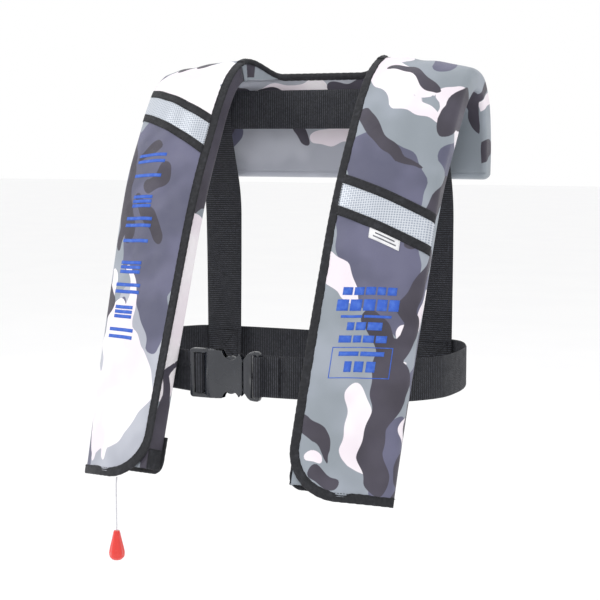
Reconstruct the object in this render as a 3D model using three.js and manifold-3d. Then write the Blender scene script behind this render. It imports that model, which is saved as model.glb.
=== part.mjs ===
// Inflatable life jacket: a bound cover with two chest lobes and a back yoke, the folded bladder and inflator
// inside it, and a webbing harness with a side-release buckle.
// Millimetres, +Z up. The wearer faces -Y and the wearer's left is +X.
// The origin lies midway between the shoulders, where the cover rests on them.

import * as THREE from 'three';
import { mergeVertices } from 'three/addons/utils/BufferGeometryUtils.js';
import Module from 'manifold-3d';

const wasm = await Module();
wasm.setup();

// ---- Driving dimensions -------------------------------------------------------------------------------------

const GAP = 0.4;                 // clear space between two pieces that touch
const CLOTH = 2.4;               // cover wall, facing and lining together
const CYLINDER_R = 13;           // gas cylinder
const LOBE_DEPTH = 2 * CYLINDER_R;   // front of the packed cover to its back, at the lobe's edges
const LOBE_WIDTH = 115;          // across one chest lobe
const CREST_Z = 22;             // top of the cover's middle line
const LOBE_CROWN = 11;           // how far the middle of a lobe stands proud of its edges
const LOBE_CENTRE = 153;         // wearer's centre line to the middle of a shoulder
const LOBE_PULL_IN = 7;          // how much nearer the centre line the lobes are at the bottom
const LOBE_TURN = 24;            // degrees a lobe faces outwards at its bottom
const SHOULDER_SLOPE = 8;        // degrees the shoulders fall outwards
const YOKE_BOW = 9;              // how far the yoke's ends come forward of its middle
const NECK_V = -32;              // neck edge, behind the crest along the cover
const FLAP_TOP_V = 285;          // where the part of a lobe that opens begins
const BACK_PANEL_END_V = 537;    // bottom of the lobes' back panels
const FLAP_END_V = 546;          // bottom of the flaps
const FLAP_CORNER = 52;          // radius of a flap's rounded inner bottom corner
const HEM_SLANT = 5;             // how much lower a lobe's outer bottom corner hangs than its middle
const BINDING = 5;               // binding that stands beyond the edge it covers
const BINDING_THICK = 4;
const TRIM_THICK = 1;            // tapes, reflective strip and label
const TRIM_CLEAR = 0.7;          // trim stands this far off the curved cover
const TAPE_WIDTH = 11;
const LEFT_TAPE_V = [178, 225];  // upper edge of the upper tape at a lobe's inner and outer edges
const RIGHT_TAPE_V = [108, 49];
const REFLECTIVE_WIDTH = 27;
const LABEL_WIDTH = 36;
const LABEL_HEIGHT = 12;
const LABEL_INSET = 46;          // from the lobe's inner edge
const HOOK_WIDTH = 14;           // hook and loop strips
const HOOK_THICK = 0.8;
const HOOK_INSET = 6;            // strips start and end inside the flap

const WEBBING = 48;              // width of all the webbing
const WEBBING_THICK = 2;
const BELT_Z = -336;             // middle of the waist belt
const BELT_FRONT_Y = -190;       // the belt where it crosses the front
const BELT_BACK_Y = 50;          // the belt where it crosses the back
const BELT_SIDE_X = LOBE_CENTRE + LOBE_WIDTH / 2 + 1.5;   // the belt at its widest, beside the lobes
const BELT_STAND_OFF = WEBBING / 4 + 0.5;      // belt's middle behind a lobe's back panel
const BACK_STRAP_X = LOBE_CENTRE - 7;      // middle of each vertical back strap
const BACK_STRAP_TOP_Z = CREST_Z - LOBE_DEPTH - 14;
const NECK_STRAP_Z = CREST_Z - LOBE_DEPTH - 3 - WEBBING / 2;
const NECK_STRAP_Y = 16;
const KEEPER_WIDTH = 30;         // loops that hold the belt to the lobes
const KEEPER_THICK = 2;
const KEEPER_LEAN = 20;          // degrees the lobe leans against the upright belt
const KEEPER_ROOM = 8;           // past the webbing's edge at each end of a keeper

const BUCKLE_LENGTH = 69;        // female half, along the belt
const BUCKLE_X = BUCKLE_LENGTH - 66;       // mouth of the female half
const BUCKLE_HEIGHT = WEBBING + 9;
const BUCKLE_WALL = 2.4;
const PRONG_THICK = 6;
const PRONG_CLEAR = 1.1;         // above and below a prong in the female half
const BUCKLE_THICK = PRONG_THICK + 2 * (BUCKLE_WALL + PRONG_CLEAR);
const MOUTH_DEPTH = 36;          // how deep the female half's cavity is
const MALE_LENGTH = 21;
const MALE_THICK = PRONG_THICK + 2;
const BAR = 5;                   // bars that the webbing goes round
const SLOT = 5;                  // slots beside them
const PRONG_REACH = 35;

const CYLINDER_LENGTH = 118;     // gas cylinder
const NECK_R = 6.2;              // its threaded neck
const NECK_LENGTH = 13;
const BODY_WIDTH = 30;           // inflator body
const BODY_DEPTH = 19;
const BODY_HEIGHT = 42;
const PIN_R = 2.2;               // firing pin
const PIN_LENGTH = 16;
const LEVER_REACH = 20;
const LEVER_WIDTH = 8;
const LEVER_THICK = 3;
const PIVOT_R = 2;
const FIT = 0.3;                 // clearance of a moving piece in its hole
const INFLATOR_V = 500;          // middle of the inflator body, along the lobe
const INFLATOR_U = 14;           // and across it, outwards from the lobe's middle
const INFLATOR_DEPTH = CYLINDER_R + 0.5;   // the cylinder's axis below the lobe's front, at its edges

const TUBE_R = 6.5;              // oral inflation tube
const TUBE_BORE = 4.2;
const TUBE_LENGTH = 84;
const CAP_LENGTH = 16;
const CAP_WALL = 1.6;
const VALVE_R = 2.6;
const VALVE_LENGTH = 14;
const ORAL_V = 372;              // middle of the tube, along the lobe
const ORAL_U = -30;              // and across it, outwards from the lobe's middle
const ORAL_DEPTH = LOBE_DEPTH / 2 + 1;
const WHISTLE_LENGTH = 44;
const WHISTLE_WIDTH = 15;
const WHISTLE_THICK = 8;
const WHISTLE_V = 456;
const LANYARD_R = 0.9;
const TONGUE_SPLIT_U = -14;      // edge of the bladder beside the tube and the inflator

const CORD_R = 0.9;              // pull cord
const TOGGLE_R = 9.5;
const TOGGLE_LENGTH = 36;
const CORD_EXIT = 52.5;          // from the inflator body's middle down to where the cord leaves the cover

// Route of the free pull cord, from where it leaves the cover to its toggle.
const CORD_ROUTE = [
  [-135.3, -243.8, -456.2], [-135.2, -244.6, -459], [-135.2, -245.2, -462.5], [-135.2, -245.5, -466],
  [-135.2, -245.6, -470], [-135.2, -245.6, -474], [-135.2, -245.6, -478], [-135.2, -245.6, -482],
  [-135.2, -245.6, -486], [-135.2, -245.6, -490], [-135.2, -245.6, -494], [-135.2, -245.6, -498],
  [-135.2, -245.6, -502], [-135.2, -245.6, -506], [-135.2, -245.6, -510], [-135.2, -245.6, -514],
  [-135.2, -245.6, -518],
];

// ---- Colours ------------------------------------------------------------------------------------------------

const FINISHES = {
  camouflage: { color: 0xb9b6c0, roughness: 0.62, metalness: 0 },
  lining: { color: 0x9a9aa4, roughness: 0.7, metalness: 0 },
  binding: { color: 0x24252a, roughness: 0.75, metalness: 0 },
  reflective: { color: 0xbcc1cb, roughness: 0.35, metalness: 0.3 },
  label: { color: 0xf0f0f0, roughness: 0.6, metalness: 0 },
  hook_and_loop: { color: 0x18191c, roughness: 0.95, metalness: 0 },
  bladder: { color: 0xe8742a, roughness: 0.5, metalness: 0 },
  webbing: { color: 0x1f2024, roughness: 0.8, metalness: 0 },
  buckle: { color: 0x1c1d20, roughness: 0.3, metalness: 0 },
  inflator: { color: 0xd8c12a, roughness: 0.4, metalness: 0 },
  steel: { color: 0xb4b8bd, roughness: 0.3, metalness: 0.9 },
  rubber: { color: 0x202124, roughness: 0.6, metalness: 0 },
  whistle: { color: 0xe8702a, roughness: 0.35, metalness: 0 },
  cord: { color: 0xf2f2ef, roughness: 0.8, metalness: 0 },
  toggle: { color: 0xd8342a, roughness: 0.25, metalness: 0 },
};

const jacket = new THREE.Group();

/** Adds a closed geometry to the jacket under a node name. */
function add(name, geometry, finish) {
  const mesh = new THREE.Mesh(geometry, new THREE.MeshStandardMaterial(FINISHES[finish]));
  mesh.name = name;
  jacket.add(mesh);
  return mesh;
}

// ---- Booleans -----------------------------------------------------------------------------------------------

/** Turns a closed three.js geometry into a Manifold solid. */
function solid(geometry) {
  const bare = geometry.clone();
  bare.deleteAttribute('normal');
  bare.deleteAttribute('uv');
  const welded = mergeVertices(bare, 1e-4);
  return new wasm.Manifold(new wasm.Mesh({
    numProp: 3,
    vertProperties: new Float32Array(welded.attributes.position.array),
    triVerts: new Uint32Array(welded.index.array),
  }));
}

/** Turns a Manifold solid back into a three.js geometry. */
function geometryOf(manifold) {
  const mesh = manifold.getMesh();
  const geometry = new THREE.BufferGeometry();
  geometry.setAttribute('position', new THREE.Float32BufferAttribute(mesh.vertProperties, 3));
  geometry.setIndex(Array.from(mesh.triVerts));
  return geometry;
}

/** Cuts every tool out of a geometry. */
function cut(geometry, ...tools) {
  return geometryOf(tools.reduce((rest, tool) => rest.subtract(solid(tool)), solid(geometry)));
}

/** Joins geometries that overlap into one. */
function join(...geometries) {
  return geometryOf(geometries.map(solid).reduce((sum, next) => sum.add(next)));
}

// ---- The worn shape of the cover ----------------------------------------------------------------------------
//
// The cover is laid out flat in (x, depth, v). x runs across the wearer, depth goes inwards from the outer face,
// and v runs along the cover: 0 at the shoulders' crest, positive down the chest, negative down the back.
// drape() carries a flat point to its place on the worn jacket.

const profileCurve = new THREE.CatmullRomCurve3([
  [70, -118], [71, -70], [62, -20], [36, 12], [0, CREST_Z], [-34, 5], [-61, -27],
  [-83, -62], [-112, -112], [-134, -162], [-152.5, -212], [-170.5, -262],
  [-188.5, -312], [-206, -362], [-222.5, -412], [-239, -464], [-249, -496],
].map(([y, z]) => new THREE.Vector3(0, y, z)));
profileCurve.arcLengthDivisions = 400;
const profileLength = profileCurve.getLength();

/** Arc length from the yoke's bottom to the crest. */
function lengthToCrest() {
  const lengths = profileCurve.getLengths(400);
  const points = profileCurve.getPoints(400);
  let best = 0;
  points.forEach((point, i) => {
    if (point.z > points[best].z) best = i;
  });
  return lengths[best];
}

const crestLength = lengthToCrest();
const YOKE_END_V = -Math.floor(crestLength - 1);

/** Grid lines along v that every piece of the cover is folded on: close together where it curves. */
const stations = [];
for (let v = YOKE_END_V; v < 130; v += 14) stations.push(v);
for (let v = 145; v < FLAP_TOP_V; v += 35) stations.push(v);
for (let v = FLAP_TOP_V; v < FLAP_END_V - FLAP_CORNER; v += 52) stations.push(v);
stations.push(FLAP_END_V + 6);

/** Smooth step from 0 at a to 1 at b. */
function ease(a, b, value) {
  const t = THREE.MathUtils.clamp((value - a) / (b - a), 0, 1);
  return t * t * (3 - 2 * t);
}

const INNER = LOBE_CENTRE - LOBE_WIDTH / 2;
const OUTER = LOBE_CENTRE + LOBE_WIDTH / 2;
const CROWN_FOLDS = 6;

/** Fold lines across the cover, right side: each piece has a line of points on those it spans. */
const folds = Array.from({ length: CROWN_FOLDS + 1 }, (_, i) => INNER + i * LOBE_WIDTH / CROWN_FOLDS);

/** Height of the crown's smooth curve at x, 0 at a lobe's edges. */
function crownCurve(x) {
  const across = (x - LOBE_CENTRE) / (LOBE_WIDTH / 2);
  return Math.max(0, 1 - across * across) * LOBE_CROWN;
}

/** How far a lobe stands proud at x, straight between the folds. */
function crownAt(x) {
  const place = THREE.MathUtils.clamp((Math.abs(x) - INNER) / LOBE_WIDTH, 0, 1) * CROWN_FOLDS;
  const i = Math.min(CROWN_FOLDS - 1, Math.floor(place));
  return THREE.MathUtils.lerp(crownCurve(folds[i]), crownCurve(folds[i + 1]), place - i);
}

/** Degrees turned into the direction across a lobe at v. */
function acrossAt(v) {
  const turn = THREE.MathUtils.degToRad(LOBE_TURN) * THREE.MathUtils.clamp(v / FLAP_END_V, 0, 1) ** 0.8;
  return new THREE.Vector3(Math.cos(turn), Math.sin(turn), 0);
}

/** Place on the worn jacket of a flat point at a station. */
function drapeAt(x, depth, v) {
  const offCentre = Math.abs(x) - LOBE_CENTRE;
  const steepness = Math.tan(THREE.MathUtils.degToRad(SHOULDER_SLOPE));
  const fall = (Math.max(Math.abs(x), INNER) - LOBE_CENTRE) * steepness;
  const hem = HEM_SLANT * offCentre / (LOBE_WIDTH / 2) * ease(FLAP_END_V - 2 * FLAP_CORNER, FLAP_END_V, v);
  const along = THREE.MathUtils.clamp((v + hem + crestLength) / profileLength, 0, 1);
  const base = profileCurve.getPointAt(along);
  const across = acrossAt(v);
  const outward = new THREE.Vector3().crossVectors(profileCurve.getTangentAt(along), across).normalize();
  const slopeFade = v > 0 ? 1 - ease(60, 200, v) : 1 - ease(0, -70, v);
  base.z -= fall * slopeFade;
  base.y -= YOKE_BOW * Math.max(0, Math.abs(x) - INNER) / LOBE_WIDTH * ease(0, -70, v);
  const pulledIn = LOBE_PULL_IN * THREE.MathUtils.clamp(v / FLAP_END_V, 0, 1);
  const crown = crownAt(x) * ease(NECK_V, 70, v) * Math.max(0, 1 - Math.max(0, depth) / LOBE_DEPTH);
  const reach = v < 0 ? Math.abs(x) : LOBE_CENTRE - pulledIn;
  const point = base.setX(reach).addScaledVector(across, v < 0 ? 0 : offCentre)
    .addScaledVector(outward, crown - depth);
  if (x < 0) point.x *= -1;
  return point;
}

/** Place on the worn jacket of any flat point, folded on the stations. */
function drape(x, depth, v) {
  const above = stations.findIndex((station) => station > v);
  const i = THREE.MathUtils.clamp(above < 0 ? stations.length : above, 1, stations.length - 1);
  const part = (v - stations[i - 1]) / (stations[i] - stations[i - 1]);
  return drapeAt(x, depth, stations[i - 1]).lerp(drapeAt(x, depth, stations[i]), part);
}

/** The ends of a piece along v and every station between them, with any more rows it needs. */
function rowsBetween(start, end, more = []) {
  const inside = [...stations, ...more].filter((v) => v > start + 0.5 && v < end - 0.5);
  return [start, ...new Set(inside.sort((a, b) => a - b)), end];
}

/** Moves every point of a flat geometry by a function that returns its draped place. */
function place(geometry, where) {
  const position = geometry.attributes.position;
  for (let i = 0; i < position.count; i += 1) {
    const { x, y, z } = where(position.getX(i), position.getY(i), position.getZ(i));
    position.setXYZ(i, x, y, z);
  }
  geometry.deleteAttribute('normal');
  geometry.deleteAttribute('uv');
  return geometry;
}

/** A draped slab, on one side or across both; shift may move its points across, row by row. */
function slab([startX, endX], [front, back], [startV, endV], { shift = (x) => x, more = [] } = {}) {
  const lines = [...folds, ...folds.map((x) => -x)].filter((x) => x > startX + 0.5 && x < endX - 0.5);
  const columns = [startX, ...lines.sort((a, b) => a - b), endX];
  const rows = rowsBetween(startV, endV, more);
  const lastRow = rows.length - 1;
  const lastColumn = columns.length - 1;
  const box = new THREE.BoxGeometry(1, 1, 1, lastColumn, 1, lastRow);
  return place(box, (across, depth, up) => {
    const v = rows[lastRow - Math.round((up + 0.5) * lastRow)];
    const x = columns[Math.round((across + 0.5) * lastColumn)];
    return drape(shift(x, v), depth < 0 ? front : back, v);
  });
}

/** A range of x on one side of the jacket: 1 for the wearer's left, -1 for the right. */
function onSide(side, [x0, x1]) {
  return side > 0 ? [x0, x1] : [-x1, -x0];
}

/** A draped piece with one outline [v, depth] across x; slant is its rise in v over x. */
function band(outline, startX, endX, slant = 0) {
  const lines = [...folds, ...folds.map((x) => -x)].filter((x) => x > startX + 0.5 && x < endX - 0.5);
  const columns = [startX, ...lines.sort((a, b) => a - b), endX];
  const last = columns.length - 1;
  const shape = new THREE.Shape(outline.map(([v, depth]) => new THREE.Vector2(depth, -v)));
  const flat = new THREE.ExtrudeGeometry(shape, { depth: last, steps: last, bevelEnabled: false });
  return place(flat, (depth, negativeV, column) => {
    const x = columns[Math.round(column)];
    return drape(x, depth, -negativeV + slant * (x - startX));
  });
}

/** Outline of a rectangle. */
function rectangle(x0, x1, y0, y1) {
  return [[x0, y0], [x1, y0], [x1, y1], [x0, y1]];
}

// ---- Cover --------------------------------------------------------------------------------------------------

const BACK_DEPTH = LOBE_DEPTH - CLOTH;          // inner face of the back panels and linings
const WALL_END = BACK_DEPTH - GAP;              // side walls stop just short of them
const FLAP_UNDERSIDE = CLOTH + GAP;
const LOOP_TOP = FLAP_UNDERSIDE;
const HOOK_TOP = LOOP_TOP + HOOK_THICK + GAP;
const LIP_TOP = HOOK_TOP + HOOK_THICK + GAP;
const LIP_WIDTH = HOOK_WIDTH + CLOTH + 2;

const SPARE = 2;                                // how far a cutting tool runs past what it cuts

/** A channel: outer face and two side walls, from x0 to x1. */
function channel([x0, x1], [start, end]) {
  const hollow = slab([x0 + CLOTH, x1 - CLOTH], [CLOTH, WALL_END + SPARE], [start - SPARE, end + SPARE]);
  return cut(slab([x0, x1], [0, WALL_END], [start, end]), hollow);
}

/** The pocket that hangs behind the shoulders. */
function buildYoke() {
  const run = [YOKE_END_V + CLOTH + GAP, NECK_V];
  const whole = [-OUTER, OUTER];
  add('yoke_outer_cover', channel(whole, run), 'camouflage');
  add('yoke_lining', slab(whole, [BACK_DEPTH, LOBE_DEPTH], run), 'lining');
  add('yoke_bottom_panel', slab(whole, [0, LOBE_DEPTH], [YOKE_END_V, YOKE_END_V + CLOTH]), 'camouflage');
  const edge = NECK_V + GAP;
  add('neck_binding', slab([GAP - INNER, INNER - GAP], [0, LOBE_DEPTH], [edge, edge + BINDING]), 'binding');
}

/** Inner edge of a flap at v, rounded at its bottom corner. */
function flapEdge(v) {
  const into = Math.max(0, v - (FLAP_END_V - FLAP_CORNER));
  return INNER + FLAP_CORNER - Math.sqrt(Math.max(0, FLAP_CORNER ** 2 - into ** 2));
}

/** Rows that follow the rounded corner. */
const cornerRows = [15, 30, 45, 60, 75].map((degrees) => (
  FLAP_END_V - FLAP_CORNER + FLAP_CORNER * Math.sin(THREE.MathUtils.degToRad(degrees))));

/** The binding round a flap's inner edge and bottom, which follows the rounded corner. */
function flapBinding(side) {
  const middle = BINDING / 2 + 2 * GAP;
  const corner = FLAP_END_V - FLAP_CORNER;
  const radius = FLAP_CORNER + middle;
  const centreX = INNER + FLAP_CORNER;
  const at = (x, v) => new THREE.Vector3(side * x, CLOTH / 2, -v);
  const turn = Array.from({ length: 10 }, (_, i) => {
    const angle = Math.PI / 2 * i / 9;
    return at(centreX - radius * Math.cos(angle), corner + radius * Math.sin(angle));
  });
  const straight = rowsBetween(FLAP_TOP_V, corner).slice(0, -1).map((v) => at(INNER - middle, v));
  const bottom = [0.34, 0.67, 1].map((part) => (
    at(THREE.MathUtils.lerp(centreX, OUTER, part), FLAP_END_V + middle)));
  return loft([...straight, ...turn, ...bottom], BINDING, BINDING_THICK);
}

/** A bar of one rectangular section that follows flat points, mitred at each, then draped. */
function loft(points, width, thick) {
  const last = points.length - 1;
  const box = new THREE.BoxGeometry(1, 1, 1, 1, 1, last);
  return place(box, (across, depth, along) => {
    const i = Math.round((along + 0.5) * last);
    const before = points[Math.max(0, i - 1)];
    const after = points[Math.min(last, i + 1)];
    const direction = after.clone().sub(before).normalize();
    const sideways = new THREE.Vector3(0, 1, 0).cross(direction);
    const point = points[i].clone().addScaledVector(sideways, across * width);
    return drape(point.x, point.y + depth * thick, -point.z);
  });
}

/** One shoulder and chest lobe. */
function buildLobe(side, name) {
  const lobe = onSide(side, [INNER, OUTER]);
  const shoulder = [NECK_V + GAP, FLAP_TOP_V - GAP];
  const chest = [FLAP_TOP_V, BACK_PANEL_END_V];
  const lining = [BACK_DEPTH, LOBE_DEPTH];
  add(`${name}_shoulder_cover`, channel(lobe, shoulder), 'camouflage');
  add(`${name}_shoulder_lining`, slab(lobe, lining, shoulder), 'lining');
  add(`${name}_back_panel`, slab(lobe, lining, chest), 'lining');
  const outside = onSide(side, [INNER + CLOTH, INNER + LIP_WIDTH + SPARE]);
  const pastEnds = [FLAP_TOP_V - SPARE, BACK_PANEL_END_V + SPARE];
  const beside = slab(outside, [LIP_TOP + CLOTH, WALL_END + SPARE], pastEnds);
  const lipped = slab(onSide(side, [INNER, INNER + LIP_WIDTH]), [LIP_TOP, WALL_END], chest);
  add(`${name}_inner_gusset`, cut(lipped, beside), 'camouflage');
  const wall = slab(onSide(side, [OUTER - CLOTH, OUTER]), [FLAP_UNDERSIDE, WALL_END], chest);
  add(`${name}_outer_gusset`, wall, 'camouflage');

  const squeeze = (x, v) => side * (OUTER - (OUTER - Math.abs(x)) * (OUTER - flapEdge(v)) / LOBE_WIDTH);
  const flap = slab(lobe, [0, CLOTH], [FLAP_TOP_V, FLAP_END_V], { shift: squeeze, more: cornerRows });
  add(`${name}_front_flap`, flap, 'camouflage');
  add(`${name}_flap_binding`, flapBinding(side), 'binding');
  const strips = [FLAP_TOP_V + HOOK_INSET, FLAP_END_V - FLAP_CORNER - 2];
  const hookStart = INNER + CLOTH + 1;
  const hookX = onSide(side, [hookStart, hookStart + HOOK_WIDTH]);
  add(`${name}_hook_strip`, slab(hookX, [HOOK_TOP, HOOK_TOP + HOOK_THICK], strips), 'hook_and_loop');
  add(`${name}_loop_strip`, slab(hookX, [LOOP_TOP, LOOP_TOP + HOOK_THICK], strips), 'hook_and_loop');
}

// ---- Trim ---------------------------------------------------------------------------------------------------

/** A tape sewn on across a lobe. innerV and outerV are its upper edge's places at the lobe's edges. */
function tape(side, innerV, outerV, width) {
  const inset = 1.5;
  const parts = 4;
  const startV = side > 0 ? innerV : outerV;
  const endV = side > 0 ? outerV : innerV;
  const across = OUTER - INNER - 2 * inset;
  const edge = (depth, backwards) => Array.from({ length: parts + 1 }, (_, i) => (
    [startV + width * (backwards ? parts - i : i) / parts, depth]));
  const outline = [...edge(-TRIM_CLEAR, false), ...edge(-TRIM_CLEAR - TRIM_THICK, true)];
  const startX = side > 0 ? INNER + inset : -OUTER + inset;
  return band(outline, startX, startX + across, (endV - startV) / across);
}

/** The two tapes with the reflective strip between them. */
function buildTapes(side, name, [innerV, outerV]) {
  const bands = [
    ['upper_tape', TAPE_WIDTH, 'binding'],
    ['reflective_strip', REFLECTIVE_WIDTH, 'reflective'],
    ['lower_tape', TAPE_WIDTH, 'binding'],
  ];
  let offset = 0;
  bands.forEach(([piece, width, finish]) => {
    add(`${name}_${piece}`, tape(side, innerV + offset, outerV + offset, width), finish);
    offset += width + GAP;
  });
}

/** The white tag sewn in under the left lobe's lower tape. */
function buildLabel([innerV, outerV]) {
  const slant = (outerV - innerV) / LOBE_WIDTH;
  const start = innerV + 2 * (TAPE_WIDTH + GAP) + REFLECTIVE_WIDTH + 2;
  const startX = INNER + LABEL_INSET;
  const top = start + slant * LABEL_INSET;
  const outline = rectangle(top, top + LABEL_HEIGHT, -TRIM_CLEAR - TRIM_THICK, -TRIM_CLEAR);
  add('size_label', band(outline, startX, startX + LABEL_WIDTH, slant), 'label');
}

// ---- Bladder ------------------------------------------------------------------------------------------------

/** The bladder, folded flat in both lobes and across the yoke; its ends narrow beside the fittings. */
function buildBladder() {
  const edge = 6;
  const front = LIP_TOP + CLOTH + 1;
  const back = BACK_DEPTH - 1;
  const wideEnd = FLAP_TOP_V + 8;
  const pieces = [slab([edge - OUTER, OUTER - edge], [front - 1, back - 1], [YOKE_END_V + 8, NECK_V - edge])];
  [1, -1].forEach((side) => {
    const split = LOBE_CENTRE + TONGUE_SPLIT_U;
    const tongue = side > 0 ? [split, OUTER - edge] : [-split, -INNER - edge];
    pieces.push(slab(onSide(side, [INNER + edge, OUTER - edge]), [front, back], [NECK_V - 24, wideEnd]));
    pieces.push(slab(tongue, [front + 1, back - 0.5], [wideEnd - 20, BACK_PANEL_END_V - 22]));
  });
  add('folded_bladder', join(...pieces), 'bladder');
}

// ---- Webbing harness ----------------------------------------------------------------------------------------

/** Outline of a ribbon's edge: a line of Vector2 points given a thickness. */
function ribbon(points, thick) {
  const offset = (sign) => points.map((point, i) => {
    const before = points[Math.max(0, i - 1)];
    const after = points[Math.min(points.length - 1, i + 1)];
    const direction = after.clone().sub(before).normalize();
    return new THREE.Vector2(-direction.y, direction.x).multiplyScalar(sign * thick / 2).add(point);
  });
  return new THREE.Shape([...offset(1), ...offset(-1).reverse()]);
}

/** Webbing that stands upright and follows a plan route [x, y] at a height. */
function uprightWebbing(route, middleZ, samples, width = WEBBING) {
  const curve = new THREE.SplineCurve(route.map(([x, y]) => new THREE.Vector2(x, y)));
  const shape = ribbon(curve.getSpacedPoints(samples), WEBBING_THICK);
  return new THREE.ExtrudeGeometry(shape, { depth: width, bevelEnabled: false })
    .translate(0, 0, middleZ - width / 2);
}

/** Height along v at which the back of a lobe is level with the belt. */
function beltV() {
  let v = FLAP_TOP_V;
  while (drape(LOBE_CENTRE, LOBE_DEPTH, v).z > BELT_Z) v += 1;
  return v;
}

/** Plan points of the belt from behind a lobe to the middle of the back, on the wearer's left. */
function sideRoute() {
  const behind = [INNER + 12, LOBE_CENTRE, OUTER - 14].map((x) => {
    const { x: outX, y } = drape(x, LOBE_DEPTH + BELT_STAND_OFF, beltV());
    return [outX, y];
  });
  return [
    ...behind,
    [BELT_SIDE_X - 5, -104], [BELT_SIDE_X, -60], [BELT_SIDE_X - 5, -18], [BELT_SIDE_X - 18, 16],
    [BACK_STRAP_X + WEBBING / 2 + 6, BELT_BACK_Y - 12], [BACK_STRAP_X, BELT_BACK_Y - 5], [80, BELT_BACK_Y - 1],
  ];
}

/** The neck strap, the back straps, the waist belt and the keepers that hold it to the lobes. */
function buildHarness() {
  const beltLine = BELT_FRONT_Y + MALE_THICK / 2 + WEBBING_THICK / 2 + GAP;
  const left = sideRoute();
  const right = left.map(([x, y]) => [-x, y]).reverse();
  const femaleEnd = BUCKLE_X - BUCKLE_LENGTH + BAR + SLOT + GAP;
  const maleEnd = BUCKLE_X + MALE_LENGTH - BAR - GAP;
  const aroundBack = [
    ...left, [0, BELT_BACK_Y], ...right,
    [femaleEnd - 20, beltLine + 4], [femaleEnd - 9, beltLine], [femaleEnd, beltLine],
  ];
  add('waist_belt', uprightWebbing(aroundBack, BELT_Z, 62), 'webbing');
  const [[behindX, behindY]] = left;
  const short = [
    [maleEnd, beltLine], [maleEnd + 18, beltLine], [behindX - 26, beltLine + 3], [behindX - 2, behindY - 1],
  ];
  add('belt_front_end', uprightWebbing(short, BELT_Z, 10), 'webbing');

  const strapEnd = BACK_STRAP_X - WEBBING / 2 + 12;
  const nape = [[-strapEnd, NECK_STRAP_Y - 3], [0, NECK_STRAP_Y], [strapEnd, NECK_STRAP_Y - 3]];
  add('neck_strap', uprightWebbing(nape, NECK_STRAP_Z, 8), 'webbing');

  [[1, 'left'], [-1, 'right']].forEach(([side, name]) => {
    const front = NECK_STRAP_Y - 3 - WEBBING_THICK - 1.2;
    const back = BELT_BACK_Y - 14;
    const bend = NECK_STRAP_Z - WEBBING / 2 - 1;
    const route = new THREE.SplineCurve([
      [front, BACK_STRAP_TOP_Z], [front, bend], [front + 9, bend - 34], [back - 3, -140], [back, -200],
      [back - 0.5, BELT_Z - WEBBING / 2 - 4],
    ].map(([y, z]) => new THREE.Vector2(y, z)));
    const shape = ribbon(route.getSpacedPoints(14), WEBBING_THICK);
    const strap = new THREE.ExtrudeGeometry(shape, { depth: WEBBING, bevelEnabled: false });
    const upright = new THREE.Matrix4().makeBasis(
      new THREE.Vector3(0, 1, 0), new THREE.Vector3(0, 0, 1), new THREE.Vector3(1, 0, 0));
    strap.applyMatrix4(upright).translate(side * BACK_STRAP_X - WEBBING / 2, 0, 0);
    add(`${name}_back_strap`, strap, 'webbing');

    const v = beltV();
    const reach = WEBBING / 2 + KEEPER_ROOM;
    const inside = reach - KEEPER_THICK;
    const near = LOBE_DEPTH + GAP;
    const lean = Math.tan(THREE.MathUtils.degToRad(KEEPER_LEAN)) * reach;
    const middleDepth = LOBE_DEPTH + BELT_STAND_OFF + WEBBING_THICK + 5;
    const topDepth = middleDepth - lean;
    const bottomDepth = middleDepth + lean;
    const staple = [
      [v - reach, near], [v - inside, near], [v - inside, topDepth - KEEPER_THICK],
      [v + inside, bottomDepth - KEEPER_THICK], [v + inside, near], [v + reach, near],
      [v + reach, bottomDepth], [v - reach, topDepth],
    ];
    const startX = side * LOBE_CENTRE - KEEPER_WIDTH / 2;
    add(`${name}_belt_keeper`, band(staple, startX, startX + KEEPER_WIDTH), 'webbing');
  });
}

// ---- Side-release buckle ------------------------------------------------------------------------------------

/** A box from its corners. */
function block(x0, x1, y0, y1, z0, z1) {
  return new THREE.BoxGeometry(x1 - x0, y1 - y0, z1 - z0)
    .translate((x0 + x1) / 2, (y0 + y1) / 2, (z0 + z1) / 2);
}

/** A plate drawn in x and z, with its thickness centred on y. */
function plate(outline, thick, middleY) {
  const shape = new THREE.Shape(outline.map(([x, z]) => new THREE.Vector2(x, z)));
  return new THREE.ExtrudeGeometry(shape, { depth: thick, bevelEnabled: false }).rotateX(Math.PI / 2)
    .translate(0, middleY + thick / 2, 0);
}

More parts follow.
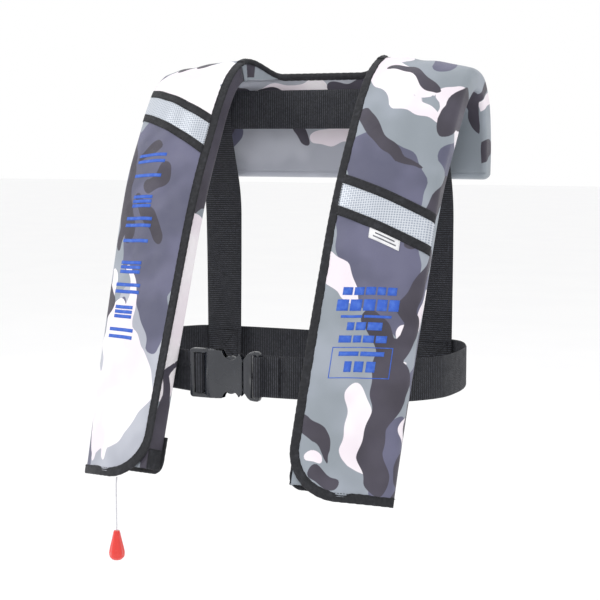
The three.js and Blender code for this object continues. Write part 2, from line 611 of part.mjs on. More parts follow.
/** Both halves of the buckle, with its two prongs as pieces of their own. */
function buildBuckle() {
  const y = BELT_FRONT_Y;
  const half = BUCKLE_HEIGHT / 2;
  const slotHalf = WEBBING / 2 + 0.8;
  const back = BUCKLE_X - BUCKLE_LENGTH;
  const shellBack = back + 2 * BAR + 2 * SLOT + BAR - 1;
  const bottom = BELT_Z - half;
  const top = BELT_Z + half;
  const bars = block(back, shellBack + 1, y - MALE_THICK / 2, y + MALE_THICK / 2, bottom, top);
  const shell = block(shellBack, BUCKLE_X, y - BUCKLE_THICK / 2, y + BUCKLE_THICK / 2, bottom, top);
  const slots = [back + BAR, back + 2 * BAR + SLOT].map((x) => (
    block(x, x + SLOT, y - BUCKLE_THICK, y + BUCKLE_THICK, BELT_Z - slotHalf, BELT_Z + slotHalf)));
  const inside = BUCKLE_THICK / 2 - BUCKLE_WALL;
  const cavity = block(BUCKLE_X - MOUTH_DEPTH, BUCKLE_X + 1, y - inside, y + inside,
    bottom - 1, top + 1);
  add('buckle_female', cut(join(bars, shell), ...slots, cavity), 'buckle');

  const maleX = BUCKLE_X + FIT;
  const end = BUCKLE_X + MALE_LENGTH;
  const base = block(maleX, end, y - MALE_THICK / 2, y + MALE_THICK / 2, bottom, top);
  const guide = block(BUCKLE_X - MOUTH_DEPTH + 6, maleX + 1, y - PRONG_THICK / 2, y + PRONG_THICK / 2,
    BELT_Z - 4, BELT_Z + 4);
  const slot = block(end - BAR - SLOT, end - BAR, y - BUCKLE_THICK, y + BUCKLE_THICK,
    BELT_Z - slotHalf, BELT_Z + slotHalf);
  add('buckle_male', cut(join(base, guide), slot), 'buckle');

  [[1, 'upper'], [-1, 'lower']].forEach(([side, name]) => {
    const root = maleX - FIT - 0.1;
    const tip = BUCKLE_X - PRONG_REACH;
    const outline = [
      [root, half - 12.5], [root, half - 6.5], [root - 9, half - 6.5], [root - 11, half - 2],
      [root - 22, half - 1],
      [tip + 3, half - 8.5], [tip, half - 13.5], [tip + 2, half - 16.5], [root - 14, half - 13],
    ].map(([x, z]) => [x, BELT_Z + side * z]);
    add(`buckle_prong_${name}`, plate(outline, PRONG_THICK, y), 'buckle');
  });
}

// ---- Inflator -----------------------------------------------------------------------------------------------

/** Frame of a rigid fitting in a lobe: x towards the wearer's left, y inwards, z up along the lobe. */
function lobeFrame(side, u, depth, v) {
  const x = side * (LOBE_CENTRE + u);
  const origin = drape(x, depth, v);
  const up = drape(x, depth, v - 45).sub(drape(x, depth, v + 45)).normalize();
  const right = drape(x + 12, LOBE_DEPTH, v).sub(drape(x - 12, LOBE_DEPTH, v)).normalize();
  const inward = new THREE.Vector3().crossVectors(up, right).normalize();
  return new THREE.Matrix4().makeBasis(new THREE.Vector3().crossVectors(inward, up), inward, up)
    .setPosition(origin);
}

/** A solid of revolution about z from its profile [radius, z]. */
function turned(profile, segments = 20) {
  const points = profile.map(([radius, z]) => new THREE.Vector2(radius, z));
  return new THREE.LatheGeometry(points, segments).rotateX(Math.PI / 2);
}

/** A round bar about z, from z0 to z1. */
function rod(radius, z0, z1, segments = 20) {
  return new THREE.CylinderGeometry(radius, radius, z1 - z0, segments)
    .rotateX(Math.PI / 2).translate(0, 0, (z0 + z1) / 2);
}

/** Inflator body, gas cylinder, firing pin, pull lever with its pivot pin, and the nut that shuts the bore. */
function buildInflator() {
  const frame = lobeFrame(-1, INFLATOR_U, INFLATOR_DEPTH, INFLATOR_V);
  const top = BODY_HEIGHT / 2;
  const socket = top - NECK_LENGTH;
  const front = -BODY_DEPTH / 2;
  const pivot = [6, -8];
  const body = block(-BODY_WIDTH / 2, BODY_WIDTH / 2, front, BODY_DEPTH / 2, -top, top);
  const pivotHole = rod(PIVOT_R + FIT / 2, -6, 1).rotateX(Math.PI / 2).translate(pivot[0], front, pivot[1]);
  const mouth = rod(NECK_R + FIT, socket - 1, top + 1);
  const bore = rod(PIN_R + FIT, -top - 1, socket);
  add('inflator_body', cut(body, mouth, bore, pivotHole).applyMatrix4(frame), 'inflator');

  const pinTop = socket - 8;
  add('firing_pin', turned([[0, pinTop - PIN_LENGTH], [PIN_R, pinTop - PIN_LENGTH], [PIN_R, pinTop - 4],
    [0, pinTop]], 12).applyMatrix4(frame), 'steel');
  const nutTop = -top - GAP;
  add('inflator_cap_nut', rod(7, nutTop - 5, nutTop, 6).applyMatrix4(frame), 'inflator');

  const shoulder = top + GAP;
  const end = shoulder + CYLINDER_LENGTH;
  add('gas_cylinder', turned([
    [0, socket + GAP], [NECK_R, socket + GAP], [NECK_R, shoulder], [NECK_R + 2, shoulder],
    [CYLINDER_R, shoulder + 14], [CYLINDER_R, end - 8], [CYLINDER_R - 3, end - 2], [0, end],
  ], 24).applyMatrix4(frame), 'steel');

  const leverFront = front - GAP - LEVER_THICK;
  const leverHole = rod(PIVOT_R + FIT, -2, LEVER_THICK + 2).rotateX(Math.PI / 2);
  const bar = block(-6, LEVER_REACH + 4, -LEVER_THICK, 0, -LEVER_WIDTH / 2, LEVER_WIDTH / 2);
  const eye = rod(1.4, -2, LEVER_THICK + 2, 10).rotateX(Math.PI / 2).translate(LEVER_REACH, 0, 0);
  const lever = cut(bar, leverHole, eye).translate(pivot[0], front - GAP, pivot[1]);
  add('inflator_lever', lever.applyMatrix4(frame), 'inflator');
  const cordTop = pivot[1] - LEVER_WIDTH / 2 - 2 * GAP;
  add('inner_cord', rod(CORD_R, -CORD_EXIT, cordTop, 8)
    .translate(pivot[0] + LEVER_REACH, front - GAP - LEVER_THICK / 2, 0).applyMatrix4(frame), 'cord');
  const pinBack = front + 5;
  add('lever_pivot_pin', rod(PIVOT_R, -pinBack, -leverFront - 0.2, 12).rotateX(Math.PI / 2)
    .translate(pivot[0], 0, pivot[1]).applyMatrix4(frame), 'steel');
}

// ---- Oral tube and whistle ----------------------------------------------------------------------------------

/** Oral inflation tube with its valve and dust cap, and the whistle on its lanyard. */
function buildOral() {
  const frame = lobeFrame(1, ORAL_U, ORAL_DEPTH, ORAL_V);
  const top = TUBE_LENGTH / 2;
  add('oral_tube', turned([
    [TUBE_BORE, -top], [TUBE_R + 3, -top], [TUBE_R + 3, 3 - top], [TUBE_R, 5 - top], [TUBE_R, top],
    [TUBE_BORE, top], [TUBE_BORE, -top],
  ]).applyMatrix4(frame), 'rubber');
  const valveTop = top - 2;
  add('oral_valve', turned([
    [0, valveTop - VALVE_LENGTH], [VALVE_R, valveTop - VALVE_LENGTH], [VALVE_R, valveTop - 4],
    [TUBE_BORE - FIT, valveTop - 3], [TUBE_BORE - FIT, valveTop], [0, valveTop],
  ], 16).applyMatrix4(frame), 'whistle');
  const capIn = TUBE_R + FIT;
  const capBottom = top + GAP + CAP_WALL - CAP_LENGTH;
  const capTop = top + GAP + CAP_WALL;
  add('oral_cap', turned([
    [0, capTop - CAP_WALL], [capIn, capTop - CAP_WALL], [capIn, capBottom], [capIn + CAP_WALL, capBottom],
    [capIn + CAP_WALL, capTop], [0, capTop],
  ]).applyMatrix4(frame), 'whistle');

  const whistleFrame = lobeFrame(1, ORAL_U, ORAL_DEPTH, WHISTLE_V);
  const half = WHISTLE_LENGTH / 2;
  const wide = WHISTLE_WIDTH / 2;
  const whistle = plate([
    [-wide, -half], [wide, -half], [wide, half - 10], [wide - 4, half], [4 - wide, half], [-wide, half - 10],
  ], WHISTLE_THICK, 0);
  const ring = rod(2.2, -WHISTLE_THICK, WHISTLE_THICK, 12).rotateX(Math.PI / 2).translate(0, 0, half - 6);
  const window = block(-3.5, 3.5, -WHISTLE_THICK, 0, 2 - half, 9 - half);
  add('whistle', cut(whistle, ring, window).applyMatrix4(whistleFrame), 'whistle');
  const lanyard = new THREE.CatmullRomCurve3([
    [0, 0, half + 1], [3, 0, half + 6], [0, 0, half + 11],
  ].map(([x, y, z]) => new THREE.Vector3(x, y, z)));
  const section = new THREE.Shape().absarc(0, 0, LANYARD_R, 0, Math.PI * 2);
  add('whistle_lanyard', new THREE.ExtrudeGeometry(section, {
    steps: 6, extrudePath: lanyard, curveSegments: 4, bevelEnabled: false,
  }).applyMatrix4(whistleFrame), 'cord');
}

// ---- Pull cord ----------------------------------------------------------------------------------------------

/** The free cord and the teardrop toggle on its end. */
function buildCord() {
  const path = new THREE.CatmullRomCurve3(CORD_ROUTE.map((point) => new THREE.Vector3(...point)));
  const section = new THREE.Shape().absarc(0, 0, CORD_R, 0, Math.PI * 2);
  const cord = new THREE.ExtrudeGeometry(section, {
    steps: 14, extrudePath: path, curveSegments: 4, bevelEnabled: false,
  });
  add('pull_cord', cord, 'cord');
  const [x, y, z] = CORD_ROUTE[CORD_ROUTE.length - 1];
  const toggle = turned([
    [0, -TOGGLE_LENGTH], [TOGGLE_R * 0.5, 1.2 - TOGGLE_LENGTH], [TOGGLE_R * 0.87, 4 - TOGGLE_LENGTH],
    [TOGGLE_R, 9 - TOGGLE_LENGTH], [TOGGLE_R * 0.86, 15 - TOGGLE_LENGTH], [TOGGLE_R * 0.45, -3],
    [TOGGLE_R * 0.4, 0], [0, 0],
  ], 16).translate(x, y, z - 2 * GAP);
  add('pull_toggle', toggle, 'toggle');
}

buildYoke();
buildLobe(1, 'left');
buildLobe(-1, 'right');
buildTapes(1, 'left', LEFT_TAPE_V);
buildTapes(-1, 'right', RIGHT_TAPE_V);
buildLabel(LEFT_TAPE_V);
buildBladder();
buildHarness();
buildBuckle();
buildInflator();
buildOral();
buildCord();

export default jacket;
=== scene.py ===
"""Inflatable life jacket: printed cover, folded bladder, webbing harness, buckle, inflator and pull cord.

Sizes are millimetres in this file and become metres as each mesh is made. The wearer faces -Y and the
wearer's left is +X. The cover is laid out flat in (x, depth, v): x across the wearer, depth inwards from
the outer face, and v along the cloth, 0 at the shoulders' crest, positive down the chest and negative down
the back.
"""

import logging
import math
import random
from collections.abc import Callable, Sequence
from dataclasses import dataclass, field
from enum import Enum

import bmesh
import bpy
import numpy as np
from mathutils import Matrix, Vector


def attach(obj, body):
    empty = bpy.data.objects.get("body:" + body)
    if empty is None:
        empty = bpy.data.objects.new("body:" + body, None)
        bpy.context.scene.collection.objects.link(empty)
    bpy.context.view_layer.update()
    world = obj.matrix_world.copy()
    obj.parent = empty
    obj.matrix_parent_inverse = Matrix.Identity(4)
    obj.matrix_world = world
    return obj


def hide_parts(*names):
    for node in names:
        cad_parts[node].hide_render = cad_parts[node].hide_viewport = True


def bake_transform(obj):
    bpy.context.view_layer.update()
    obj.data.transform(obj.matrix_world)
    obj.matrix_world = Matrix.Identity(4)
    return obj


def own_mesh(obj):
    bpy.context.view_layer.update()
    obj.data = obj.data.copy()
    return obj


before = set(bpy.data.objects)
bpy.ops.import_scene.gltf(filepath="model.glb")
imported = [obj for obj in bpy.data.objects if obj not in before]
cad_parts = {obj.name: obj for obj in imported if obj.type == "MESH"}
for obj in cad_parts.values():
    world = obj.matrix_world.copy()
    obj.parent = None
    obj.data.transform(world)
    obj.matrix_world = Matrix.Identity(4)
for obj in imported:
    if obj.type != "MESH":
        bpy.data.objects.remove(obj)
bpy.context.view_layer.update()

LOG = logging.getLogger("life_jacket")
MM = 0.001
Points = Sequence[Sequence[float]]


# ---- Curves and the worn shape -------------------------------------------------------------------


def catmull_rom(points: Points, count: int, centripetal: bool = True) -> np.ndarray:
    """Samples a smooth curve through points.

    Args:
        points: the points it passes through, in any number of dimensions.
        count: how many samples to take, evenly spread over the curve's parameter.
        centripetal: spaces the knots by the root of their distance, and evenly if False.

    Returns:
        The samples, one per row.
    """
    pts = np.asarray(points, float)
    last = len(pts) - 1
    before, after = 2 * pts[0] - pts[1], 2 * pts[-1] - pts[-2]
    held = np.vstack([before, pts, after])
    samples = []
    for place in np.linspace(0, last, count):
        i = min(int(place), last - 1)
        w = place - i
        p0, p1, p2, p3 = held[i:i + 4]
        if centripetal:
            gaps = [max(float(np.linalg.norm(b - a)) ** 0.5, 1e-4) for a,
                    b in ((p0, p1), (p1, p2), (p2, p3))]
        else:
            gaps = [1.0, 1.0, 1.0]
        g0, g1, g2 = gaps
        m1 = ((p1 - p0) / g0 - (p2 - p0) / (g0 + g1) + (p2 - p1) / g1) * g1
        m2 = ((p2 - p1) / g1 - (p3 - p1) / (g1 + g2) + (p3 - p2) / g2) * g1
        samples.append(p1 + m1 * w + (3 * (p2 - p1) - 2 * m1 - m2) * w ** 2 + (2 * (p1 - p2) + m1 + m2)
                       * w ** 3)
    return np.array(samples)


def lengths_along(line: np.ndarray) -> np.ndarray:
    """Length from a line's first point to each of its points."""
    return np.concatenate([[0.0], np.cumsum(np.linalg.norm(np.diff(line, axis=0), axis=1))])


def respaced(line: np.ndarray, step: float) -> np.ndarray:
    """The same line with its points about one step apart."""
    along = lengths_along(line)
    places = np.linspace(0, along[-1], max(2, round(along[-1] / step) + 1))
    return np.stack([np.interp(places, along, line[:, k]) for k in range(line.shape[1])], axis=1)


def tangents_of(line: np.ndarray) -> np.ndarray:
    """Unit direction of a line at each of its points."""
    steps = np.gradient(line, axis=0)
    return steps / np.linalg.norm(steps, axis=1)[:, None]


def ease(start: float, end: float, value: np.ndarray | float) -> np.ndarray:
    """Smooth step from 0 at start to 1 at end."""
    t = np.clip((np.asarray(value, float) - start) / (end - start), 0, 1)
    return t * t * (3 - 2 * t)


@dataclass(frozen=True)
class Drape:
    """Carries a point of the cover's flat pattern to its place on the worn jacket."""

    lobe_width: float = 115.0
    lobe_depth: float = 26.0
    lobe_crown: float = 11.0
    lobe_centre: float = 153.0
    pull_in: float = 7.0
    turn: float = 24.0
    shoulder_slope: float = 8.0
    yoke_bow: float = 9.0
    hem_slant: float = 5.0
    hem: float = 546.0
    neck: float = -32.0
    yoke_end: float = -174.0
    corner: float = 52.0
    profile: Points = (
        (70, -118), (71, -70), (62, -20), (36, 12), (0, 22), (-34, 5), (-61, -27), (-83, -62),
        (-112, -112),
        (-134, -162), (-152.5, -212), (-170.5, -262), (-188.5, -312), (-206, -362), (-222.5, -412),
        (-239, -464), (-249, -496),
    )
    table: dict = field(default_factory=dict)

    @property
    def inner(self) -> float:
        """Inner edge of a lobe."""
        return self.lobe_centre - self.lobe_width / 2

    @property
    def outer(self) -> float:
        """Outer edge of a lobe."""
        return self.lobe_centre + self.lobe_width / 2

    def _profile(self) -> tuple[np.ndarray, np.ndarray, np.ndarray]:
        """Length from the crest, place and direction of the side profile's samples."""
        if not self.table:
            line = catmull_rom(self.profile, 1601)
            along = lengths_along(line)
            self.table["line"] = (along - along[np.argmax(line[:, 1])], line, tangents_of(line))
        return self.table["line"]

    def flap_edge(self, v: np.ndarray) -> np.ndarray:
        """Inner edge of a chest panel at v, rounded at its bottom corner."""
        into = np.maximum(0, np.asarray(v, float) - (self.hem - self.corner))
        return self.inner + self.corner - np.sqrt(np.maximum(0, self.corner ** 2 - into ** 2))

    def at(self, x: np.ndarray, depth: np.ndarray, v: np.ndarray) -> np.ndarray:
        """Places of flat points on the worn jacket, in millimetres."""
        x, depth, v = np.broadcast_arrays(*(np.asarray(a, float) for a in (x, depth, v)))
        along, line, direction = self._profile()
        off = np.abs(x) - self.lobe_centre
        hem = self.hem_slant * off / (self.lobe_width / 2) * ease(self.hem - 2 * self.corner, self.hem, v)
        s = np.clip(v + hem, along[0], along[-1])
        y, z = (np.interp(s, along, line[:, k]) for k in (0, 1))
        ty, tz = (np.interp(s, along, direction[:, k]) for k in (0, 1))
        turn = np.radians(self.turn) * np.clip(v / self.hem, 0, 1) ** 0.8
        across = np.stack([np.cos(turn), np.sin(turn), np.zeros_like(turn)], -1)
        outward = np.cross(np.stack([np.zeros_like(ty), ty, tz], -1), across)
        outward /= np.linalg.norm(outward, axis=-1)[..., None]
        fall = (np.maximum(np.abs(x),
                           self.inner) - self.lobe_centre) * math.tan(math.radians(self.shoulder_slope))
        z = z - fall * np.where(v > 0, 1 - ease(60, 200, v), 1 - ease(0, -70, v))
        y = y - self.yoke_bow * np.maximum(0, np.abs(x) - self.inner) / self.lobe_width * ease(0, -70, v)
        rise = np.clip(1 - (off / (self.lobe_width / 2)) ** 2, 0, 1) * self.lobe_crown
        crown = rise * ease(self.neck, 70, v) * np.clip(1 - np.maximum(0, depth) / self.lobe_depth, 0, 1)
        reach = np.where(v < 0, np.abs(x), self.lobe_centre - self.pull_in * np.clip(v / self.hem, 0, 1))
        place = np.stack([reach, y, z], -1) + across * np.where(v < 0, 0, off)[..., None]
        place = place + outward * (crown - depth)[..., None]
        place[..., 0] = np.where(x < 0, -place[..., 0], place[..., 0])
        return place


DRAPE = Drape()


# ---- Printed camouflage --------------------------------------------------------------------------


class Tone(Enum):
    """Inks printed over the grey ground, in the order that they are laid; the first is a pale wash that gives
    the lining its lighter ground and paints light over the right lobe's lower half.
    """

    MIST = "mist"
    SLATE = "slate"
    PALE = "pale"
    DARK = "dark"


class Zone(Enum):
    """Parts of the cover with a print layout of their own."""

    COVER = 0
    LINING = 1
    GUSSET = 2


@dataclass(frozen=True)
class Stroke:
    """One blot of ink: a line of (across, v, radius) with round ends."""

    tone: Tone
    line: Points

    def inside(self, u: np.ndarray, v: np.ndarray) -> np.ndarray:
        """Distance inside the blot's edge of each point, negative outside it."""
        best = np.full(u.shape, -1e3)
        dots = [np.array(dot, float) for dot in self.line]
        for start, end in zip(dots, dots[1:] or dots):
            run = end[:2] - start[:2]
            part = ((u - start[0]) * run[0] + (v - start[1]) * run[1]) / max(float(run @ run), 1e-9)
            part = np.clip(part, 0, 1)
            gap = np.hypot(u - start[0] - part * run[0], v - start[1] - part * run[1])
            best = np.maximum(best, start[2] + part * (end[2] - start[2]) - gap)
        return best


def scattered(seed: int, u_range: tuple[float, float], v_range: tuple[float, float],
              count: int) -> list[Stroke]:
    """Blots strewn over a patch of cloth, each drawn out along it.

    Args:
        seed: seed of the layout.
        u_range: the patch's ends across the cloth.
        v_range: its ends along the cloth.
        count: how many blots there are.

    Returns:
        The blots, of all three tones.
    """
    draw = random.Random(seed)
    strokes = []
    for k in range(count):
        tone = (Tone.SLATE, Tone.DARK, Tone.PALE, Tone.DARK)[k % 4]
        size = draw.uniform(8, 16) if tone is Tone.DARK else draw.uniform(13, 24)
        u, v = draw.uniform(*u_range), draw.uniform(*v_range)
        line = []
        for _ in range(draw.choice((2, 3, 3, 4))):
            line.append((u, v, size * draw.uniform(0.45, 1.1)))
            u += draw.uniform(-26, 26)
            v += draw.uniform(14, 40)
        strokes.append(Stroke(tone, line))
    return strokes


def cover_print() -> list[Stroke]:
    """Blots of the cover's outer face: the left lobe, the right lobe, and the back of the yoke."""
    slate, pale, dark = Tone.SLATE, Tone.PALE, Tone.DARK
    left = [
        (slate, ((120, 160, 28), (152, 192, 42), (146, 240, 47), (160, 290, 40), (192, 340, 28))),
        (slate, ((205, 470, 10), (200, 500, 14), (196, 540, 16))),
        (pale, ((104, 4, 14), (106, 34, 17), (124, 56, 20), (142, 84, 14), (164, 88, 9), (190, 106, 6))),
        (pale, ((120, 38, 14), (148, 60, 15), (180, 72, 5))),
        (pale, ((98, 278, 10), (112, 300, 15), (124, 318, 12), (138, 327, 4))),
        (pale, ((156, 436, 11), (158, 460, 13), (156, 488, 12), (163, 506, 8), (175, 522, 3))),
        (pale, ((203, 398, 4), (199, 418, 5), (196, 438, 3))),
        (pale, ((112, 506, 6), (124, 510, 5))),
        (dark, ((121, 39, 4), (146, 44, 6), (165, 54, 7), (187, 68, 4))),
        (dark, ((104, 106, 8), (126, 131, 9), (147, 150, 6), (162, 166, 5), (192, 172, 1.5))),
        (dark, ((158, 350, 10), (178, 382, 13), (190, 410, 20), (188, 440, 18), (181, 472, 13),
                (180, 500, 13),
                (186, 528, 14))),
        (dark, ((199, 344, 8), (201, 366, 10), (192, 386, 12))),
        (dark, ((100, 462, 9), (116, 482, 10), (129, 498, 6), (134, 508, 2))),
        (dark, ((122, 524, 8), (142, 530, 7))),
        (dark, ((216, -52, 10), (240, -50, 12))),
        (pale, ((216, -74, 9), (242, -73, 11))),
        (dark, ((218, -134, 9), (232, -142, 14), (246, -146, 14))),
    ]
    right = [
        # painted light: a pale wash over the right lobe's lower half, where the light falls strongest
        (Tone.MIST, ((-150, 350, 30), (-140, 400, 60), (-150, 470, 70), (-150, 546, 70))),
        (slate, ((-150, 150, 62), (-140, 210, 62), (-132, 285, 50), (-122, 340, 22), (-110, 396, 9))),
        (slate, ((-209, 26, 7), (-209, 60, 8))),
        (slate, ((-170, 350, 6), (-181, 378, 7), (-194, 394, 4))),
        (slate, ((-206, 486, 4), (-200, 512, 8), (-196, 538, 7))),
        (pale, ((-188, 40, 17), (-160, 60, 46), (-122, 86, 34))),
        (pale, ((-110, 30, 18), (-128, 52, 30))),
        (pale, ((-196, 308, 5), (-200, 340, 8))),
        (pale, ((-172, 306, 4), (-150, 338, 7), (-160, 372, 14))),
        (pale, ((-178, 366, 20), (-168, 404, 36), (-150, 440, 48), (-166, 480, 42), (-180, 504, 24))),
        (pale, ((-164, 504, 12), (-160, 530, 5))),
        (pale, ((-186, 510, 10), (-184, 532, 4))),
        (slate, ((-208, 486, 4), (-203, 512, 9), (-200, 538, 8))),
        (dark, ((-208, 2, 5), (-186, 10, 7))),
        (dark, ((-170, 2, 10), (-176, 20, 6))),
        (dark, ((-150, 0, 12), (-141, 24, 7), (-132, 14, 5))),
        (dark, ((-204, -14, 12), (-150, -12, 15), (-104, -10, 18))),
        (dark, ((-162, 146, 5), (-174, 156, 8), (-187, 163, 6))),
        (dark, ((-139, 176, 9), (-142, 192, 12), (-157, 198, 9))),
        (dark, ((-208, 128, 5), (-202, 165, 6), (-196, 209, 8), (-196, 240, 10), (-199, 276, 6))),
        (dark, ((-174, 216, 6), (-150, 242, 9), (-129, 263, 8))),
        (dark, ((-191, 228, 8), (-178, 262, 8))),
    ]
    strokes = [Stroke(tone, line) for tone, line in left + right]
    strokes += scattered(11, (-200, 150), (-178, -62), 32)
    strokes += scattered(12, (120, 170), (-60, -30), 3)
    strokes += scattered(13, (218, 236), (40, 520), 16)
    strokes += scattered(14, (-236, -218), (-150, 520), 20)
    return strokes


def lining_print() -> list[Stroke]:
    """Blots of the lining: the yoke's inner face, and the backs of the lobes."""
    slate, pale, dark = Tone.SLATE, Tone.PALE, Tone.DARK
    yoke = [
        (Tone.MIST, ((-88, -60, 60), (88, -60, 60), (88, -150, 60), (-88, -150, 60))),
        (pale, ((-92, -38, 3), (-62, -40, 6), (-36, -44, 9), (-8, -42, 13))),
        (pale, ((-16, -118, 9), (8, -118, 12), (44, -116, 14))),
        (dark, ((-84, -48, 13), (-62, -56, 13), (-46, -84, 13), (-40, -112, 8), (-30, -128, 7))),
        (dark, ((14, -42, 10), (40, -44, 12), (70, -44, 12), (104, -52, 16))),
        (slate, ((46, -36, 4), (66, -36, 5))),
    ]
    strokes = [Stroke(tone, line) for tone, line in yoke]
    strokes += scattered(21, (104, 206), (-150, 520), 34)
    strokes += scattered(22, (-206, -104), (-150, 520), 34)
    return strokes


def gusset_print() -> list[Stroke]:
    """Blots of the lobes' inner walls, across from the front edge: the right wall's values are negative."""
    pale, dark = Tone.PALE, Tone.DARK
    right = [
        (dark, ((-73, -60, 22), (-73, 60, 22), (-73, 196, 22), (-64, 224, 6))),
        (pale, ((-86, 92, 3), (-79, 98, 5))),
        (pale, ((-73, 250, 22), (-73, 330, 22), (-73, 420, 22), (-73, 446, 12))),
        (dark, ((-82, 404, 3), (-73, 424, 5), (-78, 450, 6), (-73, 476, 15), (-73, 560, 26))),
    ]
    strokes = [Stroke(tone, line) for tone, line in right]
    strokes += scattered(31, (66, 90), (-30, 530), 20)
    return strokes


def printed(zone: Zone, u: np.ndarray, v: np.ndarray, layouts: dict[Zone, list[Stroke]]) -> dict[Tone,
                                                                                                 np.ndarray]:
    """How far inside each tone's ink every point lies, with the wandering edge of a printed blot."""
    wander_u = u + 2.6 * np.sin(v / 13 + u / 23) + 1.3 * np.sin(v / 5.3 + 1.1)
    wander_v = v + 3.4 * np.sin(u / 11 + v / 31) + 1.2 * np.sin(u / 4.7 + 0.6)
    inks = {tone: np.full(u.shape, -30.0) for tone in Tone}
    for stroke in layouts[zone]:
        inks[stroke.tone] = np.maximum(inks[stroke.tone], stroke.inside(wander_u, wander_v))
    return inks


# ---- Finishes ------------------------------------------------------------------------------------


def linear(red: int, green: int, blue: int) -> tuple[float, float, float, float]:
    """A screen colour, 0 to 255, as a linear one."""
    def one(value: int) -> float:
        """One channel."""
        share = value / 255
        return share / 12.92 if share <= 0.04045 else ((share + 0.055) / 1.055) ** 2.4
    return one(red), one(green), one(blue), 1.0


class Recipe:
    """A material being mixed: a Principled shader and the nodes that feed it."""

    def __init__(self, name: str) -> None:
        """Starts a material with a shader of its own."""
        self.material = bpy.data.materials.new(name)
        self.material.use_nodes = True
        self.tree = self.material.node_tree
        self.shader = self.tree.nodes["Principled BSDF"]
        self.normal = None

    def node(self, kind: str, **settings: object) -> bpy.types.Node:
        """Adds a node and sets its properties."""
        made = self.tree.nodes.new(kind)
        for key, value in settings.items():
            setattr(made, key, value)
        return made

    def feed(self, socket: bpy.types.NodeSocket, value: object) -> None:
        """Sets a socket to a number or colour, or links it."""
        if isinstance(value, bpy.types.NodeSocket):
            self.tree.links.new(value, socket)
        else:
            socket.default_value = value

    def set(self, **values: object) -> None:
        """Sets the shader's sockets, named with _ for a space."""
        for key, value in values.items():
            self.feed(self.shader.inputs[key.replace("_", " ")], value)

    def math(self, operation: str, a: object, b: object = 0.0,
             clamp: bool = False) -> bpy.types.NodeSocket:
        """One sum on two numbers."""
        made = self.node("ShaderNodeMath", operation=operation, use_clamp=clamp)
        self.feed(made.inputs[0], a)
        self.feed(made.inputs[1], b)
        return made.outputs[0]

    def mix(self, share: object, a: object, b: object) -> bpy.types.NodeSocket:
        """Colour a, and b where share is 1."""
        made = self.node("ShaderNodeMix", data_type="RGBA")
        self.feed(made.inputs["Factor"], share)
        self.feed(made.inputs[6], a)
        self.feed(made.inputs[7], b)
        return made.outputs[2]

    def remap(self, value: object, low: float, high: float, to_low: float,
              to_high: float) -> bpy.types.NodeSocket:
        """A value carried smoothly from one range to another."""
        made = self.node("ShaderNodeMapRange", interpolation_type="SMOOTHSTEP")
        for socket, number in zip(made.inputs, (value, low, high, to_low, to_high)):
            self.feed(socket, number)
        return made.outputs[0]

    def place(self, uv: bool = False) -> bpy.types.NodeSocket:
        """Object coordinates, or the piece's UV map."""
        return self.node("ShaderNodeTexCoord").outputs["UV" if uv else "Object"]

    def uv_parts(self) -> tuple[bpy.types.NodeSocket, bpy.types.NodeSocket]:
        """The UV map's two values, in metres."""
        split = self.node("ShaderNodeSeparateXYZ")
        self.feed(split.inputs[0], self.place(uv=True))
        return split.outputs[0], split.outputs[1]

    def attribute(self, name: str) -> bpy.types.NodeSocket:
        """A number that the mesh holds at each point."""
        return self.node("ShaderNodeAttribute", attribute_name=name).outputs["Fac"]

    def noise(self, scale: float, detail: float = 3.0, where: object = None,
              rough: float = 0.5) -> bpy.types.NodeSocket:
        """Cloudy noise with about scale clouds to the metre."""
        made = self.node("ShaderNodeTexNoise")
        self.feed(made.inputs["Vector"], where if where is not None else self.place())
        made.inputs["Scale"].default_value = scale
        made.inputs["Detail"].default_value = detail
        made.inputs["Roughness"].default_value = rough
        return made.outputs["Fac"]

    def cells(self, scale: float, where: object, feature: str = "F1",
              scatter: float = 1.0) -> bpy.types.NodeSocket:
        """Distance to the nearest of many cell centres."""
        made = self.node("ShaderNodeTexVoronoi", feature=feature)
        self.feed(made.inputs["Vector"], where)
        made.inputs["Scale"].default_value = scale
        made.inputs["Randomness"].default_value = scatter
        return made.outputs["Distance"]

    def threads(self, value: object, pitch: float, turn: float = 0.0) -> bpy.types.NodeSocket:
        """Waves of one pitch, in metres, along a value, from -1 to 1."""
        return self.math("SINE", self.math("ADD", self.math("MULTIPLY", value, math.tau / pitch), turn))

    def weave(self, pitch: float) -> bpy.types.NodeSocket:
        """A plain weave on the UV map, from -1 to 1."""
        across, along = self.uv_parts()
        return self.math("MULTIPLY", self.threads(across, pitch), self.threads(along, pitch))

    def bump(self, height: object, depth: float, strength: float = 1.0) -> None:
        """Lays a relief of that depth, in metres, over those before it."""
        made = self.node("ShaderNodeBump")
        made.inputs["Strength"].default_value = strength
        made.inputs["Distance"].default_value = depth
        self.feed(made.inputs["Height"], height)
        if self.normal is not None:
            self.feed(made.inputs["Normal"], self.normal)
        self.normal = made.outputs[0]
        self.set(Normal=self.normal)


class Finish:
    """A finish that is mixed once and then shared."""

    mixed: dict[str, bpy.types.Material] = {}
    name: str

    def recipe(self, mix: Recipe) -> None:
        """Feeds the material's shader."""
        raise NotImplementedError

    def material(self) -> bpy.types.Material:
        """The finish's material."""
        if self.name not in Finish.mixed:
            mix = Recipe(self.name)
            self.recipe(mix)
            Finish.mixed[self.name] = mix.material
        return Finish.mixed[self.name]

    def dress(self, piece: bpy.types.Object) -> None:
        """Gives a piece this finish alone."""
        piece.data.materials.clear()
        piece.data.materials.append(self.material())


